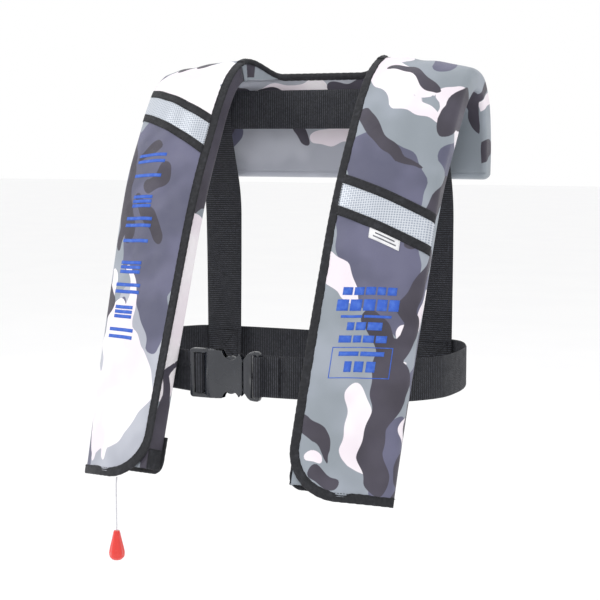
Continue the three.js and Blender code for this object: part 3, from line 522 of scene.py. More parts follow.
@dataclass(frozen=True)
class Camouflage(Finish):
    """Printed polyester: inks with crisp edges on a close plain weave."""

    name: str = "printed_camouflage"
    ground: tuple = linear(158, 165, 176)
    inks: tuple = (
        (Tone.MIST, linear(188, 191, 201), linear(170, 173, 184)),
        (Tone.SLATE, linear(106, 106, 131), linear(90, 91, 113)),
        (Tone.PALE, linear(250, 245, 249), linear(240, 230, 238)),
        (Tone.DARK, linear(75, 71, 84), linear(61, 57, 68)),
    )

    def recipe(self, mix: Recipe) -> None:
        """Inks by the fields that the mesh holds, then the weave."""
        clouds = mix.noise(14, 2)
        colour = mix.mix(mix.remap(clouds, 0.35, 0.65, 0, 1), self.ground, linear(142, 150, 158))
        # the first tone is the pale wash: the lining's lighter ground, and painted light where it lies on the
        # right lobe
        for tone, one, other in self.inks:
            ink = mix.mix(mix.remap(clouds, 0.38, 0.62, 0, 1), one, other)
            colour = mix.mix(mix.remap(mix.attribute(tone.value), -0.35, 0.35, 0, 1), colour, ink)
        weave = mix.weave(0.0011)
        shade = mix.remap(weave, -1, 1, 0.955, 1.0)
        thread = mix.node("ShaderNodeMix", data_type="RGBA", blend_type="MULTIPLY")
        mix.feed(thread.inputs["Factor"], 1.0)
        mix.feed(thread.inputs[6], colour)
        mix.feed(thread.inputs[7], shade)
        mix.set(Base_Color=thread.outputs[2], Roughness=mix.remap(mix.noise(60, 3), 0.3, 0.7, 0.5, 0.66))
        mix.set(Sheen_Weight=0.12, Sheen_Roughness=0.4, Specular_IOR_Level=0.42)
        mix.bump(mix.noise(45, 3), 0.0006, 0.5)
        mix.bump(weave, 0.00008, 0.6)


@dataclass(frozen=True)
class Grosgrain(Finish):
    """Black tape with fine ribs across it, greyed a little where it rubs, with its rib crests painted lighter
    as a painted highlight.
    """

    name: str = "black_grosgrain"
    dark: tuple = linear(24, 25, 29)
    # worn greys the rubbed patches and also paints the rib crests lighter, a painted highlight
    worn: tuple = linear(46, 47, 53)
    pitch: float = 0.0015

    def recipe(self, mix: Recipe) -> None:
        """Ribs along the tape's own length, lighter on their crests as a painted highlight."""
        across, along = mix.uv_parts()
        ribs = mix.threads(along, self.pitch)
        wear = mix.remap(mix.noise(130, 4), 0.46, 0.74, 0, 1)
        # painted highlight: the rib crests lighten towards the worn grey
        lit = mix.remap(ribs, -1, 1, 0, 0.5)
        mix.set(Base_Color=mix.mix(mix.math("MAXIMUM", wear, lit), self.dark, self.worn))
        mix.set(Roughness=mix.remap(mix.noise(300, 2), 0.3, 0.7, 0.6, 0.78), Sheen_Weight=0.05,
                Sheen_Roughness=0.5,
                Specular_IOR_Level=0.35)
        mix.bump(ribs, 0.00018, 0.7)
        mix.bump(mix.threads(across, 0.0012), 0.00006, 0.4)


@dataclass(frozen=True)
class WebbingWeave(Finish):
    """Black polyester webbing: the ribs are modelled, and this adds the yarns on them, with the rib crests
    painted lighter as painted highlight and the grooves darker as painted shade.
    """

    name: str = "black_webbing"
    # dark is the webbing's black, kept deepest in the rib grooves as painted shade; lit is the painted
    # highlight on the rib crests
    dark: tuple = linear(20, 21, 25)
    lit: tuple = linear(66, 68, 77)

    def recipe(self, mix: Recipe) -> None:
        """Yarns along and across the strap, with painted highlight on the rib crests and painted shade in the
        grooves.
        """
        across, along = mix.uv_parts()
        yarns = mix.math("MULTIPLY", mix.threads(across, 0.0021), mix.threads(along, 0.0026))
        fuzz = mix.remap(mix.noise(420, 3), 0.3, 0.7, 0.35, 1)
        # painted highlight and shade: the colour climbs from dark in the rib grooves to lit on the crests
        painted_crest_light = mix.remap(mix.threads(along, 0.0026, -math.pi / 2), -0.3, 1, 0, 1)
        mix.set(Base_Color=mix.mix(mix.math("MULTIPLY", fuzz, painted_crest_light), self.dark, self.lit))
        mix.set(Roughness=mix.remap(mix.noise(90, 3), 0.3, 0.7, 0.55, 0.72), Sheen_Weight=0.04,
                Sheen_Roughness=0.45,
                Specular_IOR_Level=0.35)
        mix.bump(yarns, 0.00022, 0.8)
        mix.bump(mix.noise(900, 2), 0.00006, 0.5)


@dataclass(frozen=True)
class Reflective(Finish):
    """Silver tape with a close grid of darker dots under its clear face."""

    name: str = "silver_reflective_tape"
    silver: tuple = linear(206, 211, 218)
    dot: tuple = linear(150, 158, 172)
    pitch: float = 0.0058

    def recipe(self, mix: Recipe) -> None:
        """Dots in staggered rows."""
        across, along = mix.uv_parts()
        one = mix.math("MULTIPLY", mix.threads(across, self.pitch), mix.threads(along, self.pitch))
        dots = mix.remap(mix.math("ABSOLUTE", one), 0.25, 0.7, 0, 1)
        soil = mix.remap(mix.noise(26, 3), 0.3, 0.7, 0.0, 0.22)
        mix.set(Base_Color=mix.mix(mix.math("MAXIMUM", dots, soil), self.silver, self.dot))
        mix.set(Roughness=mix.remap(one, -1, 1, 0.28, 0.45), Metallic=0.15, Coat_Weight=0.25,
                Coat_Roughness=0.3)
        mix.bump(one, 0.00015, 0.6)


@dataclass(frozen=True)
class Satin(Finish):
    """A woven tag."""

    name: str = "white_satin"
    colour: tuple = linear(243, 243, 244)

    def recipe(self, mix: Recipe) -> None:
        """Fine satin threads, with cloudy darker patches in the colour as painted shade of slight folds."""
        across, _ = mix.uv_parts()
        # painted shade: cloudy patches darken the white towards grey, standing in for slight folds
        mix.set(Base_Color=mix.mix(mix.remap(mix.noise(60, 3), 0.3, 0.7, 0, 1), self.colour,
                                   linear(222, 222, 226)))
        mix.set(Roughness=mix.remap(mix.noise(200, 2), 0.3, 0.7, 0.4, 0.55), Sheen_Weight=0.2)
        mix.bump(mix.threads(across, 0.0007), 0.00005, 0.6)


@dataclass(frozen=True)
class Ink(Finish):
    """Ink on the cover, which keeps its weave."""

    name: str = "blue_ink"
    colour: tuple = linear(44, 92, 196)
    thin: tuple = linear(66, 110, 205)

    def recipe(self, mix: Recipe) -> None:
        """Slightly uneven ink."""
        mix.set(Base_Color=mix.mix(mix.remap(mix.noise(160, 4), 0.4, 0.7, 0, 1), self.colour, self.thin))
        mix.set(Roughness=mix.remap(mix.noise(260, 2), 0.3, 0.7, 0.5, 0.68))
        mix.bump(mix.weave(0.0011), 0.00006, 0.6)


@dataclass(frozen=True)
class Pile(Finish):
    """Hook and loop tape."""

    name: str = "black_hook_and_loop"

    def recipe(self, mix: Recipe) -> None:
        """A deep fuzz of tiny loops."""
        loops = mix.cells(700, mix.place())
        mix.set(Base_Color=mix.mix(mix.remap(loops, 0.1, 0.6, 0, 1), linear(20, 20, 22),
                                   linear(58, 58, 62)))
        mix.set(Roughness=mix.remap(loops, 0, 0.7, 0.85, 0.98), Sheen_Weight=0.4)
        mix.bump(loops, 0.0005, 0.9)


@dataclass(frozen=True)
class CoatedNylon(Finish):
    """The bladder's orange coated nylon."""

    name: str = "orange_coated_nylon"

    def recipe(self, mix: Recipe) -> None:
        """Creased film over a fine weave, painted a deeper orange along the crease noise as painted shade."""
        creases = mix.noise(55, 5, rough=0.6)
        # painted shade: the orange deepens where the crease noise rises
        mix.set(Base_Color=mix.mix(mix.remap(creases, 0.35, 0.7, 0, 1), linear(236, 112, 28),
                                   linear(206, 84, 18)))
        mix.set(Roughness=mix.remap(creases, 0.3, 0.7, 0.32, 0.5))
        mix.bump(creases, 0.002, 0.6)
        mix.bump(mix.weave(0.0009), 0.00006, 0.5)


@dataclass(frozen=True)
class Moulded(Finish):
    """Moulded plastic with a fine grain, scuffed a little."""

    name: str
    colour: tuple
    scuffed: tuple
    shine: float = 0.3
    coat: float = 0.2

    def recipe(self, mix: Recipe) -> None:
        """Grain, scuffs and an uneven shine."""
        scuffs = mix.remap(mix.noise(210, 6, rough=0.7), 0.56, 0.8, 0, 1)
        mix.set(Base_Color=mix.mix(mix.math("MULTIPLY", scuffs, 0.6), self.colour, self.scuffed))
        mix.set(Roughness=mix.remap(mix.noise(70, 4), 0.3, 0.7, self.shine - 0.05, self.shine + 0.1))
        mix.set(Coat_Weight=self.coat, Coat_Roughness=0.2)
        mix.bump(mix.noise(1500, 2), 0.00004, 0.5)
        mix.bump(mix.noise(24, 2), 0.0006, 0.3)


@dataclass(frozen=True)
class Steel(Finish):
    """Zinc-plated steel, drawn along its length and dulled in spots."""

    name: str = "plated_steel"

    def recipe(self, mix: Recipe) -> None:
        """Fine drawing lines round the piece."""
        split = mix.node("ShaderNodeSeparateXYZ")
        mix.feed(split.inputs[0], mix.place())
        lines = mix.noise(26, 4, where=mix.math("MULTIPLY", split.outputs[2], 30.0))
        spots = mix.remap(mix.noise(140, 5), 0.5, 0.75, 0, 1)
        mix.set(Base_Color=mix.mix(spots, linear(190, 193, 197), linear(140, 142, 146)), Metallic=1.0)
        mix.set(Roughness=mix.remap(lines, 0.3, 0.7, 0.26, 0.42))
        mix.bump(lines, 0.00008, 0.5)


@dataclass(frozen=True)
class Rubber(Finish):
    """Matt black rubber with bloom."""

    name: str = "black_rubber"

    def recipe(self, mix: Recipe) -> None:
        """A dusty bloom over a soft grain."""
        bloom = mix.remap(mix.noise(90, 5), 0.45, 0.75, 0, 0.7)
        mix.set(Base_Color=mix.mix(bloom, linear(30, 30, 32), linear(66, 66, 68)))
        mix.set(Roughness=mix.remap(mix.noise(200, 3), 0.3, 0.7, 0.55, 0.75))
        mix.bump(mix.noise(1100, 2), 0.00008, 0.6)


@dataclass(frozen=True)
class Braid(Finish):
    """White braided cord."""

    name: str = "white_braid"

    def recipe(self, mix: Recipe) -> None:
        """Crossing strands in the colour and the relief."""
        strands = mix.cells(1100, mix.place())
        mix.set(Base_Color=mix.mix(mix.remap(strands, 0.1, 0.6, 0, 1), linear(238, 238, 240),
                                   linear(198, 198, 204)))
        mix.set(Roughness=mix.remap(strands, 0, 0.7, 0.6, 0.8), Sheen_Weight=0.2)
        mix.bump(strands, 0.0002, 0.7)


CAMOUFLAGE = Camouflage()
GROSGRAIN = Grosgrain()
WEBBING = WebbingWeave()
REFLECTIVE = Reflective()
SATIN = Satin()
BLUE_INK = Ink()
GREY_INK = Ink("grey_ink", linear(92, 94, 102), linear(120, 122, 130))
PILE = Pile()
BLADDER = CoatedNylon()
ACETAL = Moulded("black_acetal", linear(36, 39, 46), linear(70, 74, 84), 0.27, 0.4)
RED_GLOSS = Moulded("red_gloss_plastic", linear(226, 38, 26), linear(236, 92, 76), 0.16, 0.7)
YELLOW_PLASTIC = Moulded("yellow_plastic", linear(226, 196, 40), linear(188, 160, 40), 0.36, 0.1)
ORANGE_PLASTIC = Moulded("orange_plastic", linear(238, 96, 30), linear(206, 84, 34), 0.32, 0.2)
CAP_PLASTIC = Moulded("red_orange_plastic", linear(222, 72, 34), linear(186, 62, 34), 0.36, 0.1)
STEEL = Steel()
RUBBER = Rubber()
BRAID = Braid()


# ---- Making meshes -------------------------------------------------------------------------------


def new_piece(name: str, mesh: bpy.types.Mesh, smooth: bool = True) -> bpy.types.Object:
    """Links a mesh into the scene as an object at the origin."""
    piece = bpy.data.objects.new(name, mesh)
    bpy.context.scene.collection.objects.link(piece)
    for face in mesh.polygons:
        face.use_smooth = smooth
    return piece


def only(piece: bpy.types.Object) -> None:
    """Makes a piece the one selected and active object."""
    bpy.ops.object.select_all(action="DESELECT")
    piece.select_set(True)
    bpy.context.view_layer.objects.active = piece


def modify(piece: bpy.types.Object, kind: str, **settings: object) -> None:
    """Adds a modifier and applies it."""
    only(piece)
    made = piece.modifiers.new(kind.title(), kind)
    for key, value in settings.items():
        setattr(made, key, value)
    bpy.ops.object.modifier_apply(modifier=made.name)


def keep(piece: bpy.types.Object, body: str, finish: Finish | None = None) -> bpy.types.Object:
    """Finishes a piece: its material, and the body that it rides on."""
    if finish is not None:
        finish.dress(piece)
    if body:
        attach(piece, body)
    LOG.info("%s: %d faces on %s", piece.name, len(piece.data.polygons), body or "two bodies")
    return piece


def grid_faces(rows: int, columns: int, closed_rows: bool = False,
               closed_columns: bool = False) -> list[tuple]:
    """Quads of a grid whose points are numbered row by row."""
    faces = []
    for i in range(rows - (0 if closed_rows else 1)):
        for j in range(columns - (0 if closed_columns else 1)):
            right, below = (j + 1) % columns, (i + 1) % rows
            faces.append((i * columns + j, i * columns + right, below * columns + right,
                          below * columns + j))
    return faces


def grid_piece(name: str, places: np.ndarray, uv: np.ndarray, ring: bool = False) -> bpy.types.Object:
    """A piece from a grid of places in millimetres.

    Args:
        name: the piece's name.
        places: rows x columns x 3.
        uv: rows x columns x 2, in millimetres.
        ring: joins the last column to the first, and closes both ends.

    Returns:
        The piece, with its faces pointing out.
    """
    rows, columns = places.shape[:2]
    faces = grid_faces(rows, columns, closed_columns=ring)
    if ring:
        faces.append(tuple(range(columns)))
        faces.append(tuple((rows - 1) * columns + j for j in reversed(range(columns))))
    mesh = bpy.data.meshes.new(name)
    mesh.from_pydata((places.reshape(-1, 3) * MM).tolist(), [], faces)
    write_uv(mesh, uv.reshape(-1, 2))
    if ring:
        point_outwards(mesh)
    return new_piece(name, mesh)


def write_uv(mesh: bpy.types.Mesh, uv: np.ndarray) -> None:
    """Gives a mesh a UV map from a value for each vertex, in millimetres."""
    layer = mesh.uv_layers.new(name="UVMap")
    corners = np.zeros(len(mesh.loops), np.int32)
    mesh.loops.foreach_get("vertex_index", corners)
    layer.data.foreach_set("uv", (uv[corners] * MM).astype(np.float32).ravel())


def point_outwards(mesh: bpy.types.Mesh) -> None:
    """Turns a closed mesh's faces outwards."""
    shape = bmesh.new()
    shape.from_mesh(mesh)
    bmesh.ops.recalc_face_normals(shape, faces=shape.faces)
    shape.to_mesh(mesh)
    shape.free()


# ---- Cover ---------------------------------------------------------------------------------------


@dataclass
class Patchwork:
    """A sewn shell, built patch by patch from flat cloth; patches share the points where they meet."""

    layouts: dict[Zone, list[Stroke]]
    places: list = field(default_factory=list)
    uv: list = field(default_factory=list)
    inks: dict = field(default_factory=lambda: {tone: [] for tone in Tone})
    faces: list = field(default_factory=list)
    seen: dict = field(default_factory=dict)
    cut: float = 0.0

    def add(self, x: np.ndarray, depth: np.ndarray, v: np.ndarray, u: np.ndarray, zone: Zone) -> None:
        """Adds a patch: rows x columns of flat points, their place across the print, and its zone."""
        x, depth, v, u = (np.asarray(a, float) for a in np.broadcast_arrays(x, depth, v, u))
        flat = np.stack((x, depth, v), axis=-1)
        across = np.cross(flat[1:, 1:] - flat[:-1, :-1], flat[1:, :-1] - flat[:-1, 1:])
        self.cut += float(np.linalg.norm(across, axis=-1).sum()) / 2
        world = DRAPE.at(x, depth, v)
        core = DRAPE.at(np.clip(x, -DRAPE.lobe_centre - 30, DRAPE.lobe_centre + 30), 13.0,
                        np.clip(v, DRAPE.yoke_end + 16, DRAPE.hem - 30))
        inks = printed(zone, u, v, self.layouts)
        rows, columns = x.shape
        index = np.zeros((rows, columns), int)
        for i in range(rows):
            for j in range(columns):
                key = tuple(np.round(world[i, j], 2))
                if key not in self.seen:
                    self.seen[key] = len(self.places)
                    self.places.append(world[i, j])
                    self.uv.append((u[i, j], v[i, j]))
                    for tone in Tone:
                        self.inks[tone].append(inks[tone][i, j])
                index[i, j] = self.seen[key]
        side_a = world[1:, :-1] - world[:-1, :-1]
        side_b = world[:-1, 1:] - world[:-1, :-1]
        facing = np.cross(side_b, side_a)
        flip = float((facing * (world - core)[:-1, :-1]).sum()) < 0
        for i in range(rows - 1):
            for j in range(columns - 1):
                ring = [index[i, j], index[i + 1, j], index[i + 1, j + 1], index[i, j + 1]]
                ring = ring if flip else ring[::-1]
                ring = list(dict.fromkeys(ring))
                if len(ring) > 2:
                    self.faces.append(ring)

    def sew(self, name: str, thick: float) -> bpy.types.Object:
        """Makes the piece, its cloth this many millimetres thick inwards from its face."""
        mesh = bpy.data.meshes.new(name)
        mesh.from_pydata((np.array(self.places) * MM).tolist(), [], self.faces)
        write_uv(mesh, np.array(self.uv))
        for tone in Tone:
            ink = mesh.attributes.new(tone.value, "FLOAT", "POINT")
            ink.data.foreach_set("value", np.array(self.inks[tone], np.float32))
        piece = new_piece(name, mesh)
        modify(piece, "SOLIDIFY", thickness=thick * MM, offset=-1.0, use_even_offset=False)
        return piece


def creases(x: np.ndarray, v: np.ndarray) -> np.ndarray:
    """How far the cloth stands in or out of its smooth shape, in millimetres."""
    across = np.clip((np.abs(x) - DRAPE.inner) / DRAPE.lobe_width, 0, 1)
    middle = 4 * across * (1 - across)
    soft = np.sin(x / 6.1 + 1.7 * np.sin(v / 71)) * np.sin(v / 83 + 0.7) + 0.7 * np.sin(x / 9.7 - v / 57
                                                                                        + 2)
    ripple = np.sin(v / 4.3 + np.sin(v / 31)) * np.exp(-((np.abs(x) - DRAPE.inner) / 9) ** 2)
    return 0.75 * middle * soft + 0.28 * ripple


@dataclass
class Cover:
    """The printed cover: one sewn shell for the yoke, shoulders and lobe backs, and two chest panels."""

    cloth: float = 1.4
    fold: float = 7.0
    back_fold: float = 5.0
    neck_round: float = 42.0
    neck_edge: float = -28.0
    back_end: float = 537.0
    tapes: tuple = ((1, 178.0, 225.0), (-1, 108.0, 49.0))
    tape_width: float = 11.0
    strip_width: float = 27.0
    blend_start: float = 268.0
    blend_end: float = 330.0
    yoke_steps: int = 44
    chest_steps: tuple = (44, 22)
    back_steps: int = 90

    def __post_init__(self) -> None:
        """Lays out the print."""
        self.layouts = {Zone.COVER: cover_print(), Zone.LINING: lining_print(),
                        Zone.GUSSET: gusset_print()}
        self.cuts: dict[str, float] = {}

    def tape_top(self, side: int, x: np.ndarray) -> np.ndarray:
        """Upper edge of a lobe's upper tape at x."""
        _, inner, outer = self.tapes[0 if side > 0 else 1]
        return inner + (outer - inner) * np.clip((np.abs(x) - DRAPE.inner) / DRAPE.lobe_width, 0, 1)

    def split(self, side: int, x: np.ndarray) -> np.ndarray:
        """Where a lobe's chest panel begins, under its reflective strip."""
        return self.tape_top(side, x) + self.tape_width + self.strip_width / 2

    def neck_line(self, x: np.ndarray) -> np.ndarray:
        """Neck edge of the yoke at x, rounded up to the lobes' inner edges."""
        into = np.clip(np.abs(x) - (DRAPE.inner - self.neck_round), 0, self.neck_round)
        return self.neck_edge + self.neck_round - np.sqrt(np.maximum(0, self.neck_round ** 2 - into ** 2))

    def pinch(self, x: np.ndarray, v: np.ndarray) -> np.ndarray:
        """How far the faces draw together at the neck edge, from 0 to 1."""
        near = 1 - ease(0, 30, self.neck_line(x) - v)
        return near * (1 - ease(DRAPE.inner - self.neck_round, DRAPE.inner + 2, np.abs(x)))

    def section(self) -> list[tuple[float, float, float, Zone]]:
        """A lobe's section from its front inner edge round to its lip: x, depth, place across, zone."""
        inner, outer, depth = DRAPE.inner, DRAPE.outer, DRAPE.lobe_depth
        line = [(x, 0.0, x, Zone.COVER) for x in np.linspace(inner, outer - self.fold, 38)]
        for turn in np.radians(np.linspace(15, 90, 6)):
            line.append((outer - self.fold * (1 - math.sin(turn)), self.fold * (1 - math.cos(turn)),
                         outer - self.fold + self.fold * turn, Zone.COVER))
        edge = line[-1][2]
        for part in np.linspace(0.25, 1, 4):
            run = part * (depth - self.fold - self.back_fold)
            line.append((outer, self.fold + run, edge + run, Zone.COVER))
        edge = line[-1][2]
        for turn in np.radians(np.linspace(22.5, 90, 4)):
            line.append((outer - self.back_fold * (1 - math.cos(turn)),
                         depth - self.back_fold * (1 - math.sin(turn)), edge + self.back_fold * turn,
                         Zone.COVER))
        line += [(x, depth, x, Zone.LINING) for x in np.linspace(outer - self.back_fold, inner + 4, 34)]
        for turn in np.radians(np.linspace(0, 90, 5)):
            line.append((inner + 4 * (1 - math.sin(turn)), depth - 4 + 4 * math.cos(turn),
                         82 + 4 * math.cos(turn),
                         Zone.GUSSET))
        line += [(inner, d, 60 + d, Zone.GUSSET) for d in np.linspace(19, 6.5, 5)]
        for turn in np.radians(np.linspace(30, 90, 3)):
            line.append((inner + 2.5 * (1 - math.cos(turn)), 6.5 - 2.5 * math.sin(turn), 66.5 - 2 * turn,
                         Zone.GUSSET))
        line += [(inner + reach, 4.0, 62.0 - reach, Zone.GUSSET) for reach in (8.0, 16.0)]
        return line

    def add_runs(self, shell: Patchwork, side: int, line: list, v_of: Callable) -> None:
        """Adds a section to the shell zone by zone; v_of gives the rows' v at each x."""
        start = 0
        while start < len(line) - 1:
            zone = line[min(start + 1, len(line) - 1)][3]
            end = start + 1
            while end < len(line) - 1 and line[end + 1][3] is zone:
                end += 1
            part = np.array([row[:3] for row in line[start:end + 1]], float)
            x, depth, u = part.T
            rows = v_of(x)
            shade = creases(x[None, :] * side, rows) * (depth[None, :] < 1)
            shell.add(np.broadcast_to(side * x, rows.shape), depth[None, :] - shade, rows,
                      np.broadcast_to(side * u, rows.shape), zone)
            start = end

    def shell(self) -> bpy.types.Object:
        """The root shell: yoke, shoulders, outer walls, lobe backs and inner walls."""
        shell = Patchwork(self.layouts)
        line = self.section()
        outside = [i for i, row in enumerate(line) if row[1] >= self.fold - 0.01][0]
        front = sum(1 for row in line if row[3] is not Zone.GUSSET)
        knee = self.neck_edge + self.neck_round
        for side in (1, -1):
            def above(x: np.ndarray, side: int = side) -> np.ndarray:
                """Rows of v from the chest panel up to the neck."""
                part = np.linspace(0, 1, self.chest_steps[0 if side > 0 else 1])[:, None]
                return self.split(side, x) * (1 - part) + knee * part

            def below(x: np.ndarray, side: int = side) -> np.ndarray:
                """Rows of v from the chest panel down to the back's end."""
                part = np.linspace(0, 1, self.back_steps)[:, None]
                return self.split(side, x) * (1 - part) + self.back_end * part

            self.add_runs(shell, side, line, above)
            self.add_runs(shell, side, line[outside:], below)
            tail = [row for row in line[:front]] + [(DRAPE.inner, DRAPE.lobe_depth, DRAPE.inner,
                                                     Zone.LINING)]
            self.add_runs(shell, side, tail, lambda x: np.broadcast_to(self.yoke_rows(np.full(1,
                                                                                              DRAPE.inner)),
                                                                       (self.yoke_steps, len(x))))
        self.add_yoke_middle(shell)
        self.add_yoke_bottom(shell)
        self.add_neck_wall(shell)
        self.cuts["shell"] = shell.cut * MM ** 2
        return shell.sew("printed_cover", self.cloth)

    def yoke_rows(self, x: np.ndarray) -> np.ndarray:
        """Rows of v from the neck line down to the yoke's rounded bottom."""
        part = np.linspace(0, 1, self.yoke_steps)[:, None]
        return self.neck_line(x)[None, :] * (1 - part) + (DRAPE.yoke_end + self.fold) * part

    def add_yoke_middle(self, shell: Patchwork) -> None:
        """The yoke's two faces between the lobes, drawn together at the neck edge."""
        x = np.linspace(-DRAPE.inner, DRAPE.inner, 65)
        rows = self.yoke_rows(x)
        pinch = self.pinch(np.broadcast_to(x, rows.shape), rows)
        shell.add(x[None, :], 10 * pinch, rows, x[None, :], Zone.COVER)
        shell.add(x[None, :], DRAPE.lobe_depth - 10 * pinch, rows, x[None, :], Zone.LINING)

    def add_yoke_bottom(self, shell: Patchwork) -> None:
        """The rounded fold along the yoke's bottom edge."""
        edge = DRAPE.outer - self.fold
        corner = DRAPE.outer - self.fold * (1 - np.sin(np.radians(np.linspace(12, 90, 7))))
        x = np.concatenate([-corner[::-1], np.linspace(-edge, edge, 110), corner])
        into = np.clip((np.abs(x) - edge) / self.fold, 0, 1)
        rounded = 1 - np.sqrt(1 - into ** 2)
        front, back = self.fold * rounded, DRAPE.lobe_depth - self.back_fold * rounded
        turns = np.radians(np.linspace(0, 180, 15))[:, None]
        depth = (front + back) / 2 - (back - front) / 2 * np.cos(turns)
        drop = self.fold * np.sin(turns) ** 0.8 * np.sqrt(1 - into ** 2)
        v = DRAPE.yoke_end + self.fold - drop
        shell.add(np.broadcast_to(x, v.shape), depth, v, np.broadcast_to(x, v.shape), Zone.LINING)

    def add_neck_wall(self, shell: Patchwork) -> None:
        """The narrow wall behind the neck binding, round the rounded neck edge."""
        x = np.linspace(-DRAPE.inner, DRAPE.inner, 65)
        pinch = self.pinch(x, self.neck_line(x))
        part = np.linspace(0, 1, 6)[:, None]
        low, high = 10 * pinch, DRAPE.lobe_depth - 10 * pinch
        depth = low * (1 - part) + high * part
        v = np.broadcast_to(self.neck_line(x), depth.shape)
        shell.add(np.broadcast_to(x, v.shape), depth, v, np.broadcast_to(x, v.shape), Zone.COVER)

    def chest_panel(self, side: int, name: str) -> bpy.types.Object:
        """A lobe's front from under its reflective strip down to the hem."""
        panel = Patchwork(self.layouts)
        columns = [row for row in self.section() if row[3] is Zone.COVER and row[1] <= self.fold + 0.01]
        x0, depth, u0 = np.array([row[:3] for row in columns], float).T
        part = np.linspace(0, 1, 150)[:, None]
        v = self.split(side, x0)[None, :] * (1 - part) + DRAPE.hem * part
        squeeze = (DRAPE.outer - DRAPE.flap_edge(v)) / DRAPE.lobe_width
        x = DRAPE.outer - (DRAPE.outer - x0[None, :]) * squeeze
        u = u0[None, :] + (x - x0[None, :])
        shade = creases(x * side, v) * (depth[None, :] < 1)
        panel.add(side * x, depth[None, :] - shade, v, side * u, Zone.COVER)
        self.cuts[name] = panel.cut * MM ** 2
        return panel.sew(f"{name}_chest_panel", self.cloth)

    def build(self) -> None:
        """Makes the cover and hides the imported pieces that it replaces."""
        shell = self.shell()
        keep(shell, "jacket", CAMOUFLAGE)
        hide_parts("yoke_outer_cover", "yoke_lining", "yoke_bottom_panel", *(
            f"{name}_{part}" for name in ("left", "right")
            for part in ("shoulder_cover", "shoulder_lining", "back_panel", "inner_gusset",
                         "outer_gusset")))
        for side, name in ((1, "left"), (-1, "right")):
            panel = self.chest_panel(side, name)
            keep(panel, "", CAMOUFLAGE)
            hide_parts(f"{name}_front_flap")
            self.hinge(panel, side, name)
            length = DRAPE.hem - float(self.split(side, np.array([DRAPE.inner, DRAPE.outer])).min())

    def hinge(self, piece: bpy.types.Object, side: int, name: str) -> None:
        """Bakes a chest piece's placement into its mesh; the piece is not bent."""
        start, end = (DRAPE.at(side * DRAPE.lobe_centre, 0.0, v) * MM for v in (self.blend_start,
                                                                                self.blend_end))
        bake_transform(piece)


# ---- Binding, tapes and marks --------------------------------------------------------------------


def flat_bar(name: str, path: Points, width: float, thick: float, step: float = 3.0) -> bpy.types.Object:
    """A soft bar of tape that follows flat points (x, depth, v) on the cover.

    Args:
        name: the piece's name.
        path: its middle line, in flat points.
        width: across the tape, in the cloth's plane.
        thick: through the cloth.
        step: distance between its rings.

    Returns:
        The bar, closed at its ends, with u round it and v along it.
    """
    line = respaced(np.asarray(path, float), step)
    across = tangents_of(line[:, [0, 2]])
    sideways = np.stack([-across[:, 1], across[:, 0]], axis=1)
    turns = np.linspace(0, math.tau, 17)[:-1]
    a = np.sign(np.cos(turns)) * np.abs(np.cos(turns)) ** 0.55 * width / 2
    b = np.sign(np.sin(turns)) * np.abs(np.sin(turns)) ** 0.8 * thick / 2
    pull = 1 + 0.035 * np.sin(np.arange(len(line)) * 2.1)[:, None]
    x = line[:, None, 0] + sideways[:, None, 0] * a * pull
    v = line[:, None, 2] + sideways[:, None, 1] * a * pull
    depth = line[:, None, 1] + b * pull
    places = DRAPE.at(x, depth, v)
    along = lengths_along(line)
    uv = np.stack([np.broadcast_to(a, x.shape), np.broadcast_to(along[:, None], x.shape)], -1)
    return grid_piece(name, places, uv, ring=True)


def draped_strip(name: str, x: np.ndarray, depth: float, v: np.ndarray, thick: float) -> bpy.types.Object:
    """A strip laid on the cover from flat grids of x and v, standing thick proud of depth."""
    over = np.clip(np.abs(x) - DRAPE.outer + 7, 0, 6.9)
    lift = depth - creases(x, v) * (over <= 0) + 7 - np.sqrt(49 - over ** 2)
    places = DRAPE.at(x, lift, v)
    uv = np.stack([x, v], -1)
    piece = grid_piece(name, places, uv)
    outward = Vector((DRAPE.at(x[:1, :1], lift[:1, :1] - 3, v[:1, :1]) - places[:1, :1]).ravel())
    if piece.data.polygons[0].normal.dot(outward) < 0:
        piece.data.flip_normals()
    modify(piece, "SOLIDIFY", thickness=thick * MM, offset=1.0)
    return piece


@dataclass
class Stitching:
    """Rows of stitches gathered into one piece of thread."""

    length: float = 2.3
    gap: float = 3.3
    radius: float = 0.36
    places: list = field(default_factory=list)
    faces: list = field(default_factory=list)

    def row(self, line: np.ndarray, outward: np.ndarray) -> None:
        """Sews along a line of places, each stitch lying on the face that looks outward."""
        spots = respaced(np.hstack([line, outward]), self.gap)
        direction = tangents_of(spots[:, :3])
        for spot, way in zip(spots, direction):
            up = spot[3:] / np.linalg.norm(spot[3:])
            side = np.cross(way, up)
            first = len(self.places)
            for reach, swell in ((-0.5, 0.35), (-0.25, 1.0), (0.25, 1.0), (0.5, 0.35)):
                for turn in np.arange(5) * math.tau / 5:
                    ring = side * math.cos(turn) + up * math.sin(turn)
                    self.places.append(spot[:3] + way * reach * self.length + ring * self.radius * swell)
            self.faces += [tuple(first + k for k in quad) for quad in grid_faces(4, 5,
                                                                                 closed_columns=True)]
            self.faces.append(tuple(first + k for k in range(5)))
            self.faces.append(tuple(first + 15 + k for k in reversed(range(5))))

    def flat_row(self, path: Points, step: float = 3.0) -> None:
        """Sews along flat points (x, depth, v) of the cover."""
        line = respaced(np.asarray(path, float), step)
        x, depth, v = line.T
        depth = depth - creases(x, v)
        places = DRAPE.at(x, depth, v)
        self.row(places, DRAPE.at(x, depth - 2, v) - places)

    def piece(self, name: str) -> bpy.types.Object:
        """The thread of every row so far."""
        mesh = bpy.data.meshes.new(name)
        mesh.from_pydata((np.array(self.places) * MM).tolist(), [], self.faces)
        point_outwards(mesh)
        write_uv(mesh, np.array(self.places)[:, :2])
        return new_piece(name, mesh)


